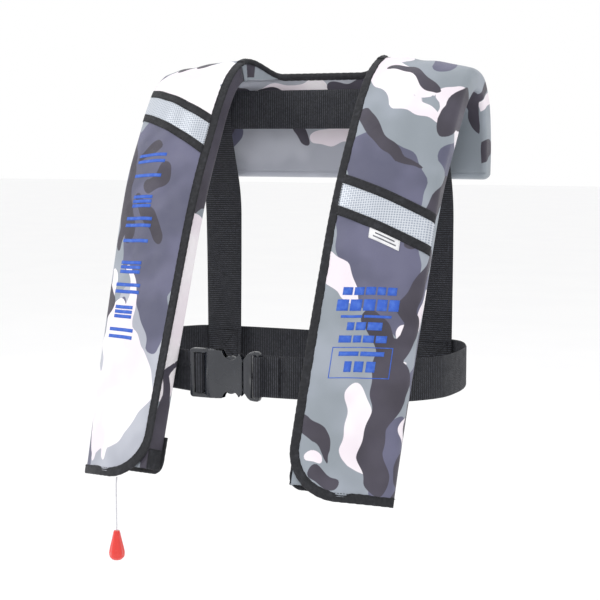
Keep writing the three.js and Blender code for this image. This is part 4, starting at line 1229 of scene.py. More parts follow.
@dataclass
class Trim:
    """Bindings, tapes, reflective strips, tag, hook and loop, stitching and printed marks."""

    cover: Cover
    width: float = 11.0
    thick: float = 3.6

    def edge_path(self, side: int) -> list[tuple[float, float, float]]:
        """Middle line of a lobe's binding, from the hem's outer end round and up to the shoulder."""
        middle = 0.6
        corner = DRAPE.hem - DRAPE.corner
        centre = DRAPE.inner + DRAPE.corner
        radius = DRAPE.corner + middle
        path = [(x, 1.0, DRAPE.hem + middle) for x in np.linspace(DRAPE.outer, centre, 12)]
        for turn in np.radians(np.linspace(0, 90, 19)[1:]):
            path.append((centre - radius * math.sin(turn), 1.0, corner + radius * math.cos(turn)))
        top = self.cover.neck_edge + self.cover.neck_round
        path += [(DRAPE.inner - middle, 1.0, v) for v in np.arange(corner - 8, top, -8)]
        path.append((DRAPE.inner - middle, 1.0, top))
        return [(side * x, depth, v) for x, depth, v in path]

    def neck_path(self) -> list[tuple[float, float, float]]:
        """Middle line of the neck binding, from one lobe round to the other."""
        half = []
        top = self.cover.neck_edge + self.cover.neck_round
        half.append((DRAPE.inner - 0.6, 1.0, top + 3))
        for x in np.linspace(DRAPE.inner - 0.4, 0, 40):
            v = float(self.cover.neck_line(np.array([x]))[0])
            pinch = float(self.cover.pinch(np.array([x]), np.array([v]))[0])
            half.append((x, 1.0 + 12.0 * pinch, v + 0.6))
        return half + [(-x, depth, v) for x, depth, v in reversed(half[:-1])]

    def bindings(self) -> None:
        """The black binding on every edge of the cover."""
        for side, name in ((1, "left"), (-1, "right")):
            edge = flat_bar(f"{name}_edge_binding", self.edge_path(side), self.width, self.thick)
            keep(edge, "", GROSGRAIN)
            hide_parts(f"{name}_flap_binding")
            self.cover.hinge(edge, side, name)
            back = [(side * x, DRAPE.lobe_depth - 0.5, self.cover.back_end) for x in
                    np.linspace(DRAPE.outer - 3, DRAPE.inner + 12, 12)]
            for turn in np.radians(np.linspace(15, 90, 6)):
                back.append((side * (DRAPE.inner + 12 - 11 * math.sin(turn)), DRAPE.lobe_depth - 0.5,
                             self.cover.back_end - 11 * (1 - math.cos(turn))))
            back += [(side * (DRAPE.inner + 1), DRAPE.lobe_depth - 0.5, v) for v in (512, 496)]
            hem = flat_bar(f"{name}_back_hem_binding", back, 9.0, 3.0)
            keep(hem, "jacket", GROSGRAIN)
        neck = flat_bar("neck_edge_binding", self.neck_path(), 9.5, 7.0)
        keep(neck, "jacket", GROSGRAIN)
        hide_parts("neck_binding")

    def tapes(self) -> None:
        """Two tapes and the reflective strip on each lobe."""
        for side, name in ((1, "left"), (-1, "right")):
            x = np.append(np.linspace(DRAPE.inner + 3, DRAPE.outer - 6.5, 40),
                          DRAPE.outer - np.array((5, 3.5, 2, 1, 0.3)))
            start = self.cover.tape_top(side, x)
            offset = 0.0
            for piece, width, slot, finish, lift in (
                ("upper_tape", self.cover.tape_width, "binding", GROSGRAIN, 0.15),
                ("reflective_strip", self.cover.strip_width, "reflective", REFLECTIVE, 0.1),
                ("lower_tape", self.cover.tape_width, "binding", GROSGRAIN, 0.15),
            ):
                lap = 0.9 if slot == "reflective" else 0.0
                rows = np.linspace(-lap, width + lap, max(5, round(width / 3)))[:, None]
                grid_x = np.broadcast_to(side * x, (len(rows), len(x)))
                strip = draped_strip(f"{name}_{piece}_cloth", grid_x, -lift,
                                     start[None, :] + offset + rows, 0.8)
                keep(strip, "jacket", finish)
                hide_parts(f"{name}_{piece}")
                offset += width

    def wall_ends(self) -> None:
        """Wide black tape over the bottom of each lobe's inner wall."""
        for side, name in ((1, "left"), (-1, "right")):
            depth, v = np.meshgrid(np.linspace(4.5, DRAPE.lobe_depth - 2, 9),
                                   np.linspace(513, self.cover.back_end, 9))
            x = np.full(depth.shape, side * (DRAPE.inner - 0.25))
            wall = grid_piece(f"{name}_wall_end_tape", DRAPE.at(x, depth, v), np.stack([depth, v], -1))
            if wall.data.polygons[0].normal.x * side > 0:
                wall.data.flip_normals()
            modify(wall, "SOLIDIFY", thickness=0.8 * MM, offset=1.0)
            keep(wall, "jacket", GROSGRAIN)

    def tag(self) -> None:
        """The white tag under the left lobe's lower tape, with rows of plain marks."""
        width, height, inset = 36.0, 12.0, 46.0
        x = DRAPE.inner + inset + np.linspace(0, width, 14)
        top = self.cover.tape_top(1, x) + 2 * self.cover.tape_width + self.cover.strip_width - 0.5
        rows = np.linspace(0, height, 6)[:, None]
        grid = np.broadcast_to(x, (6, len(x)))
        tag = draped_strip("size_tag", grid, -0.2, top[None, :] + rows, 0.5)
        keep(tag, "jacket", SATIN)
        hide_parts("size_label")
        for row, (first, last) in enumerate(((7, 30), (5, 32))):
            x = DRAPE.inner + inset + np.linspace(first, last, 10)
            top = self.cover.tape_top(1,
                                      x) + 2 * self.cover.tape_width + self.cover.strip_width + 2.6 + 4 * row
            mark = draped_strip(f"size_tag_mark_{row}", np.broadcast_to(x, (2, 10)), -0.72,
                                top[None, :] + np.array([[0.0], [1.6]]), 0.06)
            keep(mark, "jacket", GREY_INK)

    def hook_and_loop(self) -> None:
        """The strips that hold the chest panels shut."""
        for side, name in ((1, "left"), (-1, "right")):
            x = side * (DRAPE.inner + 4 + np.linspace(0, 12, 5))
            v = np.linspace(300, 488, 64)[:, None]
            grid_x, grid_v = np.broadcast_arrays(x[None, :], v)
            for node, depth, body in (("loop_strip", 2.3, f"{name}_flap"), ("hook_strip", 3.9, "jacket")):
                places = DRAPE.at(grid_x, depth, grid_v)
                piece = grid_piece(f"{name}_{node}_pile", places, np.stack([grid_x, grid_v], -1))
                if (piece.data.polygons[0].normal.y < 0) == (node == "loop_strip"):
                    piece.data.flip_normals()
                modify(piece, "SOLIDIFY", thickness=0.6 * MM, offset=0.0)
                keep(piece, body, PILE)
                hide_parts(f"{name}_{node}")

    def stitches(self) -> None:
        """Thread along the bindings and the tapes."""
        still = Stitching()
        for side in (1, -1):
            x = np.linspace(DRAPE.inner + 7, DRAPE.outer - 8, 12)
            start = self.cover.tape_top(side, x)
            edge = self.cover.tape_width
            for offset in (1.6, edge - 1.6, edge + self.cover.strip_width + 1.6,
                           2 * edge + self.cover.strip_width - 1.6):
                still.flat_row([(side * a, -1.0, b + offset) for a, b in zip(x, start)])
        neck = [(x, depth - 3.4, v - 2.4) for x, depth, v in self.neck_path()]
        still.flat_row(neck)
        keep(still.piece("tape_stitching"), "jacket", GROSGRAIN)
        for side, name in ((1, "left"), (-1, "right")):
            edge = Stitching()
            path = np.array(self.edge_path(side))
            way = tangents_of(path[:, [0, 2]])
            inwards = np.stack([-way[:, 1], np.zeros(len(way)), way[:, 0]], axis=1) * (3.9 * side)
            edge.flat_row(path + inwards + np.array([0, -1.85, 0]))
            thread = edge.piece(f"{name}_edge_stitching")
            keep(thread, "", GROSGRAIN)
            self.cover.hinge(thread, side, name)

    def mark(self, name: str, side: int, blocks: list[tuple[float, float, float, float]],
             finish: Finish) -> None:
        """Printed blocks (x, v, width, length) on a chest panel, as one piece."""
        pieces = []
        for k, (x, v, width, length) in enumerate(blocks):
            columns = max(2, round(width / 4) + 1)
            rows = max(2, round(length / 4) + 1)
            grid_x, grid_v = np.meshgrid(np.linspace(x, x + width, columns),
                                         np.linspace(v, v + length, rows))
            pieces.append(draped_strip(f"{name}_{k}", side * grid_x, -0.08, grid_v, 0.08))
        only(pieces[0])
        for piece in pieces[1:]:
            piece.select_set(True)
        bpy.ops.object.join()
        printed_marks = pieces[0]
        printed_marks.name = name
        keep(printed_marks, "", finish)
        self.cover.hinge(printed_marks, side, "left" if side > 0 else "right")

    def marks(self) -> None:
        """Plain blue blocks where a jacket carries print."""
        column = []
        for k, (width, count) in enumerate(((46, 2), (46, 1), (34, 3), (46, 2), (46, 1), (38, 3), (46, 2),
                                            (34, 3), (46, 2))):
            gap = 17 / count
            column += [(144 + (46 - width) / 2, 158 + 27.5 * k + gap * n, width,
                        4.2) for n in range(count)]
        self.mark("right_lobe_marks", -1, column, BLUE_INK)
        block = []
        for v, height, widths in ((300, 9, (11, 11, 11, 9, 10)), (314, 13, (13, 13, 13, 11, 11)),
                                  (332, 3, (24, 30)),
                                  (340, 9, (8, 11, 16)), (355, 8, (14, 9, 12, 12))):
            v += 14
            x = 153 - (sum(widths) + 2 * len(widths)) / 2
            for width in widths:
                block.append((x, v, width, height))
                x += width + 2
        frame_x, frame_v, frame_width, frame_height, line = 120, 382, 66, 34, 0.9
        block += [(frame_x, frame_v, frame_width, line),
                  (frame_x, frame_v + frame_height, frame_width, line),
                  (frame_x, frame_v, line, frame_height),
                  (frame_x + frame_width, frame_v, line, frame_height + line)]
        block += [(128, 387, 22, 5), (152, 387, 26, 5), (136, 398, 8, 12), (147, 398, 10, 12),
                  (160, 398, 10, 12)]
        self.mark("left_lobe_marks", 1, block, BLUE_INK)

    def build(self) -> None:
        """Makes all the trim."""
        self.bindings()
        self.tapes()
        self.wall_ends()
        self.tag()
        self.hook_and_loop()
        self.stitches()
        self.marks()


# ---- Bladder -------------------------------------------------------------------------------------


@dataclass
class Bladder:
    """The bladder, packed in concertina folds inside each lobe and across the yoke."""

    top: float = 11.0
    bottom: float = 21.0
    layers: int = 4

    def bag(self, name: str, x_ends: tuple[float, float],
            v_ends: tuple[float, float]) -> bpy.types.Object:
        """One folded stretch between two x and two v."""
        section = []
        middle = (x_ends[0] + x_ends[1]) / 2
        half = abs(x_ends[1] - x_ends[0]) / 2
        for k in range(self.layers * 6):
            depth = self.top + (self.bottom - self.top) * k / (self.layers * 6 - 1)
            fold = abs(math.sin(math.pi * k / 6 + 0.001)) ** 0.5
            section.append((half - 3.5 + 3.5 * fold, depth))
        outline = [(middle + reach, depth) for reach, depth in section]
        outline += [(middle - reach, depth) for reach, depth in reversed(section)]
        rows = np.linspace(v_ends[0], v_ends[1], max(8, round((v_ends[1] - v_ends[0]) / 9)))
        x = np.array([[middle + (a - middle) * self.taper(v, v_ends) for a, _ in outline] for v in rows])
        depth = np.array([[16 + (d - 16) * self.taper(v, v_ends) + 0.5 * math.sin(v / 13 + a / 9)
                           for a, d in outline] for v in rows])
        v = np.broadcast_to(rows[:, None], x.shape)
        places = DRAPE.at(x, depth, v)
        return grid_piece(name, places, np.stack([x + depth, v], -1), ring=True)

    @staticmethod
    def taper(v: float, v_ends: tuple[float, float]) -> float:
        """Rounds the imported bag's ends."""
        near = min(v - v_ends[0], v_ends[1] - v)
        return 0.55 + 0.45 * math.sqrt(min(1.0, near / 14))

    def build(self) -> None:
        """Makes the five packed stretches as one piece."""
        bags = [self.bag("folded_bladder_cloth", (-150, 150), (DRAPE.yoke_end + 14, DRAPE.neck - 22))]
        for side in (1, -1):
            full = sorted((side * (DRAPE.inner + 9), side * (DRAPE.outer - 9)))
            narrow = sorted((side * 143, side * 200)) if side > 0 else (-136.0, -104.0)
            bags.append(self.bag(f"upper_bag_{side}", tuple(full), (DRAPE.neck - 10, 288)))
            bags.append(self.bag(f"lower_bag_{side}", tuple(narrow), (290, 514)))
        only(bags[0])
        for piece in bags[1:]:
            piece.select_set(True)
        bpy.ops.object.join()
        keep(bags[0], "jacket", BLADDER)
        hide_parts("folded_bladder")


# ---- Webbing -------------------------------------------------------------------------------------


@dataclass
class Strap:
    """A length of ribbed webbing."""

    width: float = 48.0
    thick: float = 2.0
    rib: float = 2.6
    relief: float = 0.34

    def along(self, name: str, line: np.ndarray, width_way: np.ndarray) -> bpy.types.Object:
        """Webbing whose middle follows a line of places.

        Args:
            name: the piece's name.
            line: its middle line.
            width_way: one direction across the strap, or one for each point of the line.

        Returns:
            The strap, with rounded selvedges and a rib across it every few millimetres.
        """
        ways = np.broadcast_to(np.asarray(width_way, float), line.shape)
        both = respaced(np.hstack([line, ways]), self.rib / 4)
        line, ways = both[:, :3], both[:, 3:]
        ways = ways / np.linalg.norm(ways, axis=1)[:, None]
        up = np.cross(tangents_of(line), ways)
        distance = lengths_along(line)
        ribs = self.relief * np.abs(np.sin(math.pi * distance / self.rib))
        half = self.width / 2
        across = np.array([-1, -0.93, -0.5, 0, 0.5, 0.93, 1, 1, 0.93, 0.5, 0, -0.5, -0.93, -1]) * half
        level = np.array([0.45, 1, 1, 1, 1, 1, 0.45, -0.45, -1, -1, -1, -1, -1, -0.45])
        height = level * (self.thick / 2 - self.relief)
        lift = height + np.sign(level) * ribs[:, None] * (np.abs(level) == 1)
        places = line[:, None, :] + ways[:, None, :] * across[None, :, None] + up[:, None, :] * lift[...,
                                                                                                     None]
        uv = np.stack([np.broadcast_to(across, lift.shape),
                       np.broadcast_to(distance[:, None], lift.shape)], -1)
        return grid_piece(name, places, uv, ring=True)


@dataclass
class Harness:
    """Neck strap, back straps, waist belt, keepers, and the webbing ends at the buckle."""

    belt_z: float = -336.0
    front_y: float = -190.0
    back_y: float = 50.0
    stand_off: float = 12.5
    strap_x: float = 146.0
    strap: Strap = field(default_factory=Strap)

    def belt_v(self) -> float:
        """Place along a lobe whose back is level with the belt."""
        v = np.arange(285.0, 500.0, 0.5)
        heights = DRAPE.at(DRAPE.lobe_centre, DRAPE.lobe_depth, v)[:, 2]
        return float(v[np.argmax(heights <= self.belt_z)])

    def side_route(self) -> list[tuple[float, float]]:
        """Plan points of the belt from behind the left lobe to the middle of the back."""
        behind = []
        for x in (DRAPE.inner + 12, DRAPE.lobe_centre, DRAPE.outer - 14):
            place = DRAPE.at(x, DRAPE.lobe_depth + self.stand_off, self.belt_v())
            behind.append((place[0], place[1]))
        side = DRAPE.outer + 1.5
        return behind + [
            (side - 5, -104), (side, -60), (side - 5, -18), (side - 18, 16),
            (self.strap_x + 30, self.back_y - 12), (self.strap_x, self.back_y - 5), (80, self.back_y - 1),
        ]

    def upright(self, name: str, plan: Points, middle_z: float,
                strap: Strap | None = None) -> bpy.types.Object:
        """Webbing on edge along a plan route at one height."""
        flat = catmull_rom(plan, 40 * len(plan), centripetal=False)
        line = np.column_stack([flat, np.full(len(flat), middle_z)])
        return (strap or self.strap).along(name, line, np.array([0, 0, 1.0]))

    def belt(self) -> None:
        """The waist belt round the back, and the short end that holds the male half."""
        line_y = self.front_y + 5.4
        left = self.side_route()
        right = [(-x, y) for x, y in reversed(left)]
        around = left + [(0, self.back_y)] + right + [(-75.6, line_y + 4), (-64.6, line_y),
                                                      (-55.6, line_y)]
        belt = self.upright("waist_belt_webbing", around, self.belt_z)
        keep(belt, "jacket", WEBBING)
        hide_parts("waist_belt")
        behind_x, behind_y = left[0]
        short = [(18.6, line_y), (36.6, line_y), (behind_x - 26, line_y + 3),
                 (behind_x - 2, behind_y - 1)]
        end = self.upright("belt_front_end_webbing", short, self.belt_z)
        keep(end, "jacket", WEBBING)
        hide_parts("belt_front_end")
        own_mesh(end)
        loop = [(46, line_y - 2.1), (33, line_y - 2.2), (29, line_y - 4.6), (25.6, self.front_y - 4.6),
                (21.5, self.front_y - 5.8), (17.6, self.front_y - 4.4), (16.4, self.front_y),
                (17.4, line_y - 2.6)]
        self.bar_loop("belt_end_loop", "male_half", loop)
        loop = [(-66, line_y - 0.4), (-60.6, self.front_y + 3.6), (-58.5, self.front_y),
                (-57, self.front_y - 4.4),
                (-53.5, self.front_y - 5.8), (-50, self.front_y - 4.4), (-48.5, self.front_y),
                (-50, line_y - 1.6)]
        self.bar_loop("belt_adjuster_loop", "jacket", loop)

    def bar_loop(self, name: str, body: str, plan: Points) -> None:
        """Webbing round one of the buckle's bars, by its points in plan."""
        turned = self.upright(name, plan, self.belt_z, Strap(width=46.0, thick=1.8))
        keep(turned, body, WEBBING)

    def neck(self) -> None:
        """The strap across the nape."""
        end = self.strap_x - self.strap.width / 2 + 12
        crest = 22.0
        z = crest - DRAPE.lobe_depth - 3 - self.strap.width / 2
        nape = self.upright("neck_strap_webbing", [(-end, 13), (0, 16), (end, 13)], z)
        keep(nape, "jacket", WEBBING)
        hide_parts("neck_strap")

    def back_straps(self) -> None:
        """Two straps down the back to the belt, sewn to it with a box of stitches."""
        thread = Stitching(length=2.4, gap=3.2, radius=0.4)
        front, back = 9.8, self.back_y - 14
        bottom = self.belt_z - self.strap.width / 2 - 4
        side_line = [(front, -18), (front, -56), (front + 9, -90), (back - 3, -140), (back, -200),
                     (back - 0.5, bottom)]
        flat = catmull_rom(side_line, 240, centripetal=False)
        for side, name in ((1, "left"), (-1, "right")):
            line = np.column_stack([np.full(len(flat), side * self.strap_x), flat])
            turn = np.radians(13) * np.sin(np.linspace(0, math.pi, len(flat)))
            ways = np.stack([np.cos(turn), np.sin(turn), 0 * turn], axis=1)
            strap = self.strap.along(f"{name}_back_strap_webbing", line, ways)
            keep(strap, "jacket", WEBBING)
            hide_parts(f"{name}_back_strap")
            for z0, z1 in ((self.belt_z - 20, self.belt_z + 20), (-214, -186)):
                y = np.interp(-z0, -flat[:, 1], flat[:, 0]) - self.strap.thick / 2
                x0, x1 = side * self.strap_x - 19, side * self.strap_x + 19
                corners = [(x0, z0), (x1, z0), (x1, z1), (x0, z1), (x0, z0), (x1, z1), (x0, z1), (x1, z0)]
                if z0 > -300:
                    corners = corners[:5]
                line = np.array([(x, y, z) for x, z in corners], float)
                for start, end in zip(line, line[1:]):
                    thread.row(np.array([start, end]), np.array([[0, -1.0, 0]] * 2))
        keep(thread.piece("strap_stitching"), "jacket", WEBBING)

    def keepers(self) -> None:
        """Loops that hold the belt to the lobes' backs."""
        v = self.belt_v()
        reach = self.strap.width / 2 + 8
        middle = DRAPE.lobe_depth + self.stand_off + self.strap.thick + 4
        lean = math.tan(math.radians(20)) * reach
        line = [(v - reach + 1, DRAPE.lobe_depth + 1.4), (v - reach + 0.6, middle - lean - 5),
                (v - reach + 4, middle - lean), (v, middle), (v + reach - 4, middle + lean),
                (v + reach - 0.6, middle + lean - 5), (v + reach - 1, DRAPE.lobe_depth + 1.4)]
        flat = catmull_rom(line, 120, centripetal=True)
        for side, name in ((1, "left"), (-1, "right")):
            x = side * DRAPE.lobe_centre
            places = DRAPE.at(np.full(len(flat), x), flat[:, 1], flat[:, 0])
            across = DRAPE.at(np.full(len(flat), x + 5), flat[:, 1], flat[:, 0]) - places
            keeper = Strap(width=30, thick=1.6).along(f"{name}_keeper_webbing", places, across)
            keep(keeper, "jacket", WEBBING)
            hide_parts(f"{name}_belt_keeper")

    def build(self) -> None:
        """Makes all the webbing."""
        self.belt()
        self.neck()
        self.back_straps()
        self.keepers()


# ---- Hard pieces ---------------------------------------------------------------------------------


def outline_plate(name: str, outline: Points, y0: float, y1: float,
                  bevel: float = 0.8) -> bpy.types.Object:
    """A moulded plate from its outline in x and z, with rounded edges.

    Args:
        name: the piece's name.
        outline: points (x, z) in millimetres.
        y0: its front.
        y1: its back.
        bevel: radius of its edges.

    Returns:
        The plate.
    """
    bpy.ops.object.select_all(action="DESELECT")
    bpy.ops.mesh.primitive_circle_add(vertices=len(outline), fill_type="NGON", location=(0, 0, 0))
    piece = bpy.context.object
    piece.name = name
    for vertex, (x, z) in zip(piece.data.vertices, outline):
        vertex.co = (x * MM, y0 * MM, z * MM)
    bpy.ops.object.mode_set(mode="EDIT")
    bpy.ops.mesh.select_all(action="SELECT")
    bpy.ops.mesh.extrude_region_move(TRANSFORM_OT_translate={"value": (0, (y1 - y0) * MM, 0)})
    bpy.ops.mesh.select_all(action="SELECT")
    bpy.ops.mesh.normals_make_consistent(inside=False)
    bpy.ops.object.mode_set(mode="OBJECT")
    if bevel:
        modify(piece, "BEVEL", width=bevel * MM, segments=3, limit_method="ANGLE",
               angle_limit=math.radians(35))
    only(piece)
    bpy.ops.object.shade_smooth_by_angle(angle=math.radians(40))
    return piece


def carve(piece: bpy.types.Object, cutter: bpy.types.Object) -> None:
    """Cuts one piece out of another and throws the cutter away."""
    modify(piece, "BOOLEAN", operation="DIFFERENCE", object=cutter, solver="EXACT")
    bpy.data.objects.remove(cutter, do_unlink=True)


def arc(centre: tuple[float, float], radius: float, start: float, end: float,
        count: int) -> list[tuple[float, float]]:
    """Points on an arc, its angles in degrees."""
    return [(centre[0] + radius * math.cos(turn), centre[1] + radius * math.sin(turn))
            for turn in np.radians(np.linspace(start, end, count))]


@dataclass
class Buckle:
    """The side-release buckle: a female half with side windows, and a male half with two prongs."""

    mouth: float = 3.0
    length: float = 69.0
    half: float = 28.5
    thick: float = 13.0
    bar: float = 5.0
    slot: float = 5.0
    male_length: float = 21.0
    male_thick: float = 8.0
    prong_thick: float = 6.0
    y: float = -190.0
    z: float = -336.0

    def mirrored(self, upper: list[tuple[float, float]]) -> list[tuple[float, float]]:
        """A whole outline from its upper half, listed from left to right."""
        both = upper + [(x, -z) for x, z in reversed(upper)]
        return [(x, self.z + z) for x, z in both]

    def female(self) -> None:
        """Bars for the belt, and the shell that the prongs latch in."""
        back = self.mouth - self.length
        shell_back = back + 3 * self.bar + 2 * self.slot - 1
        h = self.half
        frame_outline = [(back, h - 4)] + arc((back + 4, h - 4), 4, 165, 90, 4) + [(shell_back + 3, h)]
        bars = outline_plate("female_buckle_bars", self.mirrored(frame_outline),
                             self.y - self.male_thick / 2,
                             self.y + self.male_thick / 2, 1.4)
        for k in (0, 1):
            x = back + self.bar + k * (self.bar + self.slot)
            hole = [(x, -23.6), (x + self.slot, -23.6), (x + self.slot, 23.6), (x, 23.6)]
            carve(bars, outline_plate("slot", [(a, self.z + b) for a, b in hole], self.y - 12,
                                      self.y + 12, 0))
        bite = arc((-12.5, h + 1.0), 11.4, 190, 338, 14)
        upper = [(shell_back, h - 1.5), (shell_back + 1.5, h)] + [(x, z) for x, z in bite]
        upper += [(self.mouth - 2, h - 6.5), (self.mouth, h - 10)]
        shell = outline_plate("female_buckle_shell", self.mirrored(upper), self.y - self.thick / 2,
                              self.y + self.thick / 2, 1.6)
        inside = [(self.mouth - 36, -40), (self.mouth + 4, -40), (self.mouth + 4, 40),
                  (self.mouth - 36, 40)]
        carve(shell, outline_plate("cavity", [(x, self.z + z) for x, z in inside], self.y - 4.1,
                                   self.y + 4.1, 0))
        self.crown(shell)
        keep(bars, "jacket", ACETAL)
        keep(shell, "jacket", ACETAL)
        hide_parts("buckle_female")

    def crown(self, shell: bpy.types.Object) -> None:
        """Hollows the shell's outer faces a little towards the mouth, as a thumb expects."""
        for vertex in shell.data.vertices:
            x, y, z = (value / MM for value in vertex.co)
            off = y - self.y
            if abs(off) > 5.2:
                dip = 1.3 * math.exp(-((x + 10) / 12) ** 2) + 1.9 * ((z - self.z) / self.half) ** 2
                vertex.co.y = (self.y + math.copysign(abs(off) - dip, off)) * MM

    def male(self) -> None:
        """The male half's base with its webbing bar, and its guide."""
        start, end, h = self.mouth + 0.3, self.mouth + self.male_length, self.half
        upper = [(start, h - 10), (start + 2.5, h - 7.5), (start + 5.5, h - 3.5), (start + 9, h - 0.8)]
        upper += [(end - 6, h), (end - 2, h), (end, h - 2.5)]
        base = outline_plate("male_buckle_base", self.mirrored(upper), self.y - self.male_thick / 2,
                             self.y + self.male_thick / 2, 1.4)
        hole_x = end - self.bar - self.slot
        hole = [(hole_x, -24.4), (hole_x + self.slot, -24.4), (hole_x + self.slot, 24.4), (hole_x, 24.4)]
        carve(base, outline_plate("slot", [(a, self.z + b) for a, b in hole], self.y - 12, self.y + 12,
                                  0))
        guide_start = self.mouth - 30
        guide = [(guide_start, self.z - 2.5), (guide_start, self.z + 2.5), (guide_start + 2, self.z + 4),
                 (start + 1, self.z + 4), (start + 1, self.z - 4), (guide_start + 2, self.z - 4)]
        tongue = outline_plate("male_buckle_guide", guide, self.y - self.prong_thick / 2,
                               self.y + self.prong_thick / 2, 0.8)
        keep(base, "male_half", ACETAL)
        keep(tongue, "male_half", ACETAL)
        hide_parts("buckle_male")

    def prongs(self) -> None:
        """Two springy prongs with the shoulders that latch in the side windows."""
        root, tip, h = self.mouth - 0.1, self.mouth - 35, self.half
        shoulder = arc((root - 16, h - 14.6), 8.2, 40, 140, 8)
        outline = [(root, h - 14.5), (root, h - 10.8), (root - 7, h - 10.4)] + shoulder
        outline += [(tip + 3, h - 8.5), (tip, h - 13.5), (tip + 2, h - 16.5), (root - 14, h - 13)]
        for side, name in ((1, "upper"), (-1, "lower")):
            points = [(x, self.z + side * z) for x, z in outline]
            prong = outline_plate(f"{name}_buckle_prong", points, self.y - self.prong_thick / 2,
                                  self.y + self.prong_thick / 2, 0.9)
            keep(prong, f"{name}_prong", ACETAL)
            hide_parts(f"buckle_prong_{name}")

    def build(self) -> None:
        """Makes both halves."""
        self.female()
        self.male()
        self.prongs()


@dataclass
class PullCord:
    """The free cord and the fluted toggle on its end."""

    radius: float = 0.9
    toggle_radius: float = 9.5
    toggle_length: float = 36.0
    route: Points = (
        (-135.3, -243.8, -456.2), (-135.2, -244.6, -459), (-135.2, -245.2, -462.5),
        (-135.2, -245.5, -466),
        (-135.2, -245.6, -470), (-135.2, -245.6, -474), (-135.2, -245.6, -478), (-135.2, -245.6, -482),
        (-135.2, -245.6, -486), (-135.2, -245.6, -490), (-135.2, -245.6, -494), (-135.2, -245.6, -498),
        (-135.2, -245.6, -502), (-135.2, -245.6, -506), (-135.2, -245.6, -510), (-135.2, -245.6, -514),
        (-135.2, -245.6, -518),
    )

    def toggle(self) -> bpy.types.Object:
        """A teardrop with flutes down its sides."""
        bpy.ops.object.select_all(action="DESELECT")
        x, y, z = self.route[-1]
        bpy.ops.mesh.primitive_uv_sphere_add(segments=48, ring_count=40, radius=0.5 * MM,
                                             location=(0, 0, 0))
        piece = bpy.context.object
        piece.name = "toggle_teardrop"
        profile_z = (0.0, 0.06, 0.3, 0.55, 0.72, 0.86, 0.95, 1.0)
        profile_r = (0.34, 0.42, 0.62, 0.86, 0.985, 0.93, 0.62, 0.0)
        for vertex in piece.data.vertices:
            down = 0.5 - vertex.co.z / MM
            turn = math.atan2(vertex.co.y, vertex.co.x)
            drop = (1 - math.cos(math.pi * down)) / 2
            radius = self.toggle_radius * float(np.interp(drop, profile_z, profile_r))
            if down < 0.02:
                radius *= down / 0.02
            flutes = 0.09 * ease(0.0, 0.15, drop) * (1 - ease(0.7, 0.9, drop))
            radius *= 1 - float(flutes) * (0.5 + 0.5 * math.cos(6 * turn)) ** 3
            vertex.co = (np.array([x + radius * math.cos(turn), y + radius * math.sin(turn),
                                   z - 0.8 - self.toggle_length * drop]) * MM)
        modify(piece, "SUBSURF", levels=1, render_levels=1)
        for face in piece.data.polygons:
            face.use_smooth = True
        keep(piece, "toggle", RED_GLOSS)
        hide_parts("pull_toggle")
        return piece

    def build(self) -> None:
        """Makes the cord and its toggle."""
        toggle = self.toggle()
        path = [tuple(value * MM for value in point) for point in self.route]
        curve = bpy.data.curves.new("cord_line", "CURVE")
        curve.dimensions = "3D"
        curve.bevel_depth = self.radius * MM
        curve.bevel_resolution = 3
        curve.use_fill_caps = True
        spline = curve.splines.new("POLY")
        spline.points.add(len(path) - 1)
        for point, place in zip(spline.points, path):
            point.co = (*place, 1)
        cord = bpy.data.objects.new("pull_cord_braid", curve)
        bpy.context.scene.collection.objects.link(cord)
        curve.materials.append(BRAID.material())
        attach(cord, "hanging_cord")
        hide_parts("pull_cord")


@dataclass
class Fittings:
    """The inflator, the oral tube and the whistle, which keep their own shapes and get their finishes here."""

    finishes: dict = field(default_factory=lambda: {
        "inflator_body": YELLOW_PLASTIC, "inflator_cap_nut": YELLOW_PLASTIC,
        "inflator_lever": YELLOW_PLASTIC,
        "gas_cylinder": STEEL, "firing_pin": STEEL, "lever_pivot_pin": STEEL, "oral_tube": RUBBER,
        "oral_valve": CAP_PLASTIC, "oral_cap": CAP_PLASTIC, "whistle": ORANGE_PLASTIC,
        "inner_cord": BRAID, "whistle_lanyard": BRAID,
    })

    def build(self) -> None:
        """Dresses each fitting."""
        for node, finish in self.finishes.items():
            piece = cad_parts[node]
            finish.dress(piece)
            only(piece)
            bpy.ops.object.shade_smooth_by_angle(angle=math.radians(35))
            LOG.info("%s: dressed", node)


# ---- Studio --------------------------------------------------------------------------------------


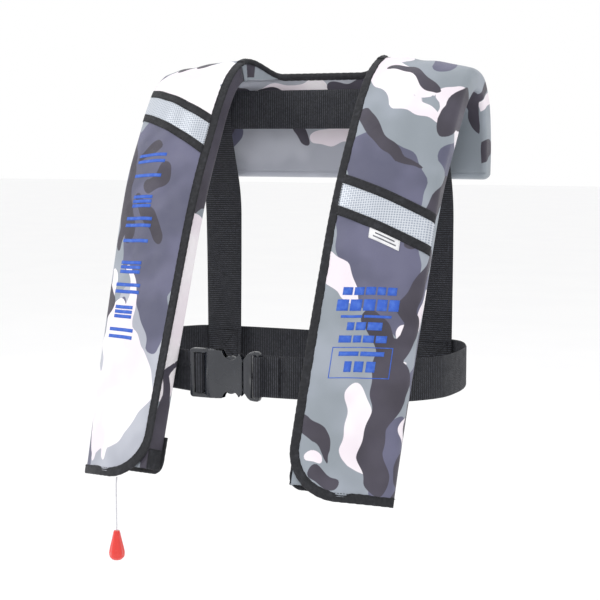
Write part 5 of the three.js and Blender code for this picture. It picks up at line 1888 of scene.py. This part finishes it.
@dataclass
class Studio:
    """A pale floor, soft lights and the camera."""

    azimuth: float = 26.0
    elevation: float = 6.0
    distance: float = 1.88
    target: tuple = (-0.001, -0.036, -0.264)
    lens: float = 92.0

    def camera(self) -> None:
        """The camera, turned to its target."""
        a, e = math.radians(self.azimuth), math.radians(self.elevation)
        back = Vector((math.sin(a) * math.cos(e), -math.cos(a) * math.cos(e), math.sin(e)))
        data = bpy.data.cameras.new("camera")
        data.lens = self.lens
        data.sensor_width = 36.0
        camera = bpy.data.objects.new("camera", data)
        camera.location = Vector(self.target) + back * self.distance
        camera.rotation_euler = back.to_track_quat("Z", "Y").to_euler()
        bpy.context.scene.collection.objects.link(camera)
        bpy.context.scene.camera = camera

    def area(self, name: str, place: tuple, size: float, power: float) -> None:
        """A soft square light that faces the jacket."""
        data = bpy.data.lights.new(name, "AREA")
        data.size = size
        data.energy = power
        light = bpy.data.objects.new(name, data)
        light.location = place
        light.rotation_euler = (Vector(place) - Vector(self.target)).to_track_quat("Z", "Y").to_euler()
        bpy.context.scene.collection.objects.link(light)

    def floor(self) -> None:
        """A wide pale floor below the hanging toggle."""
        bpy.ops.object.select_all(action="DESELECT")
        bpy.ops.mesh.primitive_plane_add(size=40, location=(0, 0, -0.75))
        floor = bpy.context.object
        floor.name = "studio_floor"
        mix = Recipe("pale_floor")
        mix.set(Base_Color=mix.mix(mix.noise(3, 2), linear(250, 250, 250), linear(246, 246, 247)),
                Roughness=0.9)
        floor.data.materials.append(mix.material)

    def build(self) -> None:
        """Sets the studio."""
        self.camera()
        self.floor()
        world = bpy.data.worlds.new("studio_world")
        world.use_nodes = True
        world.node_tree.nodes["Background"].inputs[0].default_value = (1, 1, 1, 1)
        world.node_tree.nodes["Background"].inputs[1].default_value = 1.0
        bpy.context.scene.world = world
        bpy.context.scene.view_settings.view_transform = "Standard"
        self.area("key_light", (-2.1, -1.5, 1.4), 1.3, 19)
        self.area("fill_light", (1.3, -2.2, 0.9), 0.9, 5)
        self.area("top_light", (0.2, 0.8, 2.2), 1.6, 9)


def main() -> None:
    """Builds the jacket and its studio."""
    Studio().build()
    PullCord().build()
    cover = Cover()
    cover.build()
    Trim(cover).build()
    Bladder().build()
    Harness().build()
    Buckle().build()
    Fittings().build()


if __name__ == "__main__":
    logging.basicConfig(level=logging.INFO, format="%(message)s")
    main()
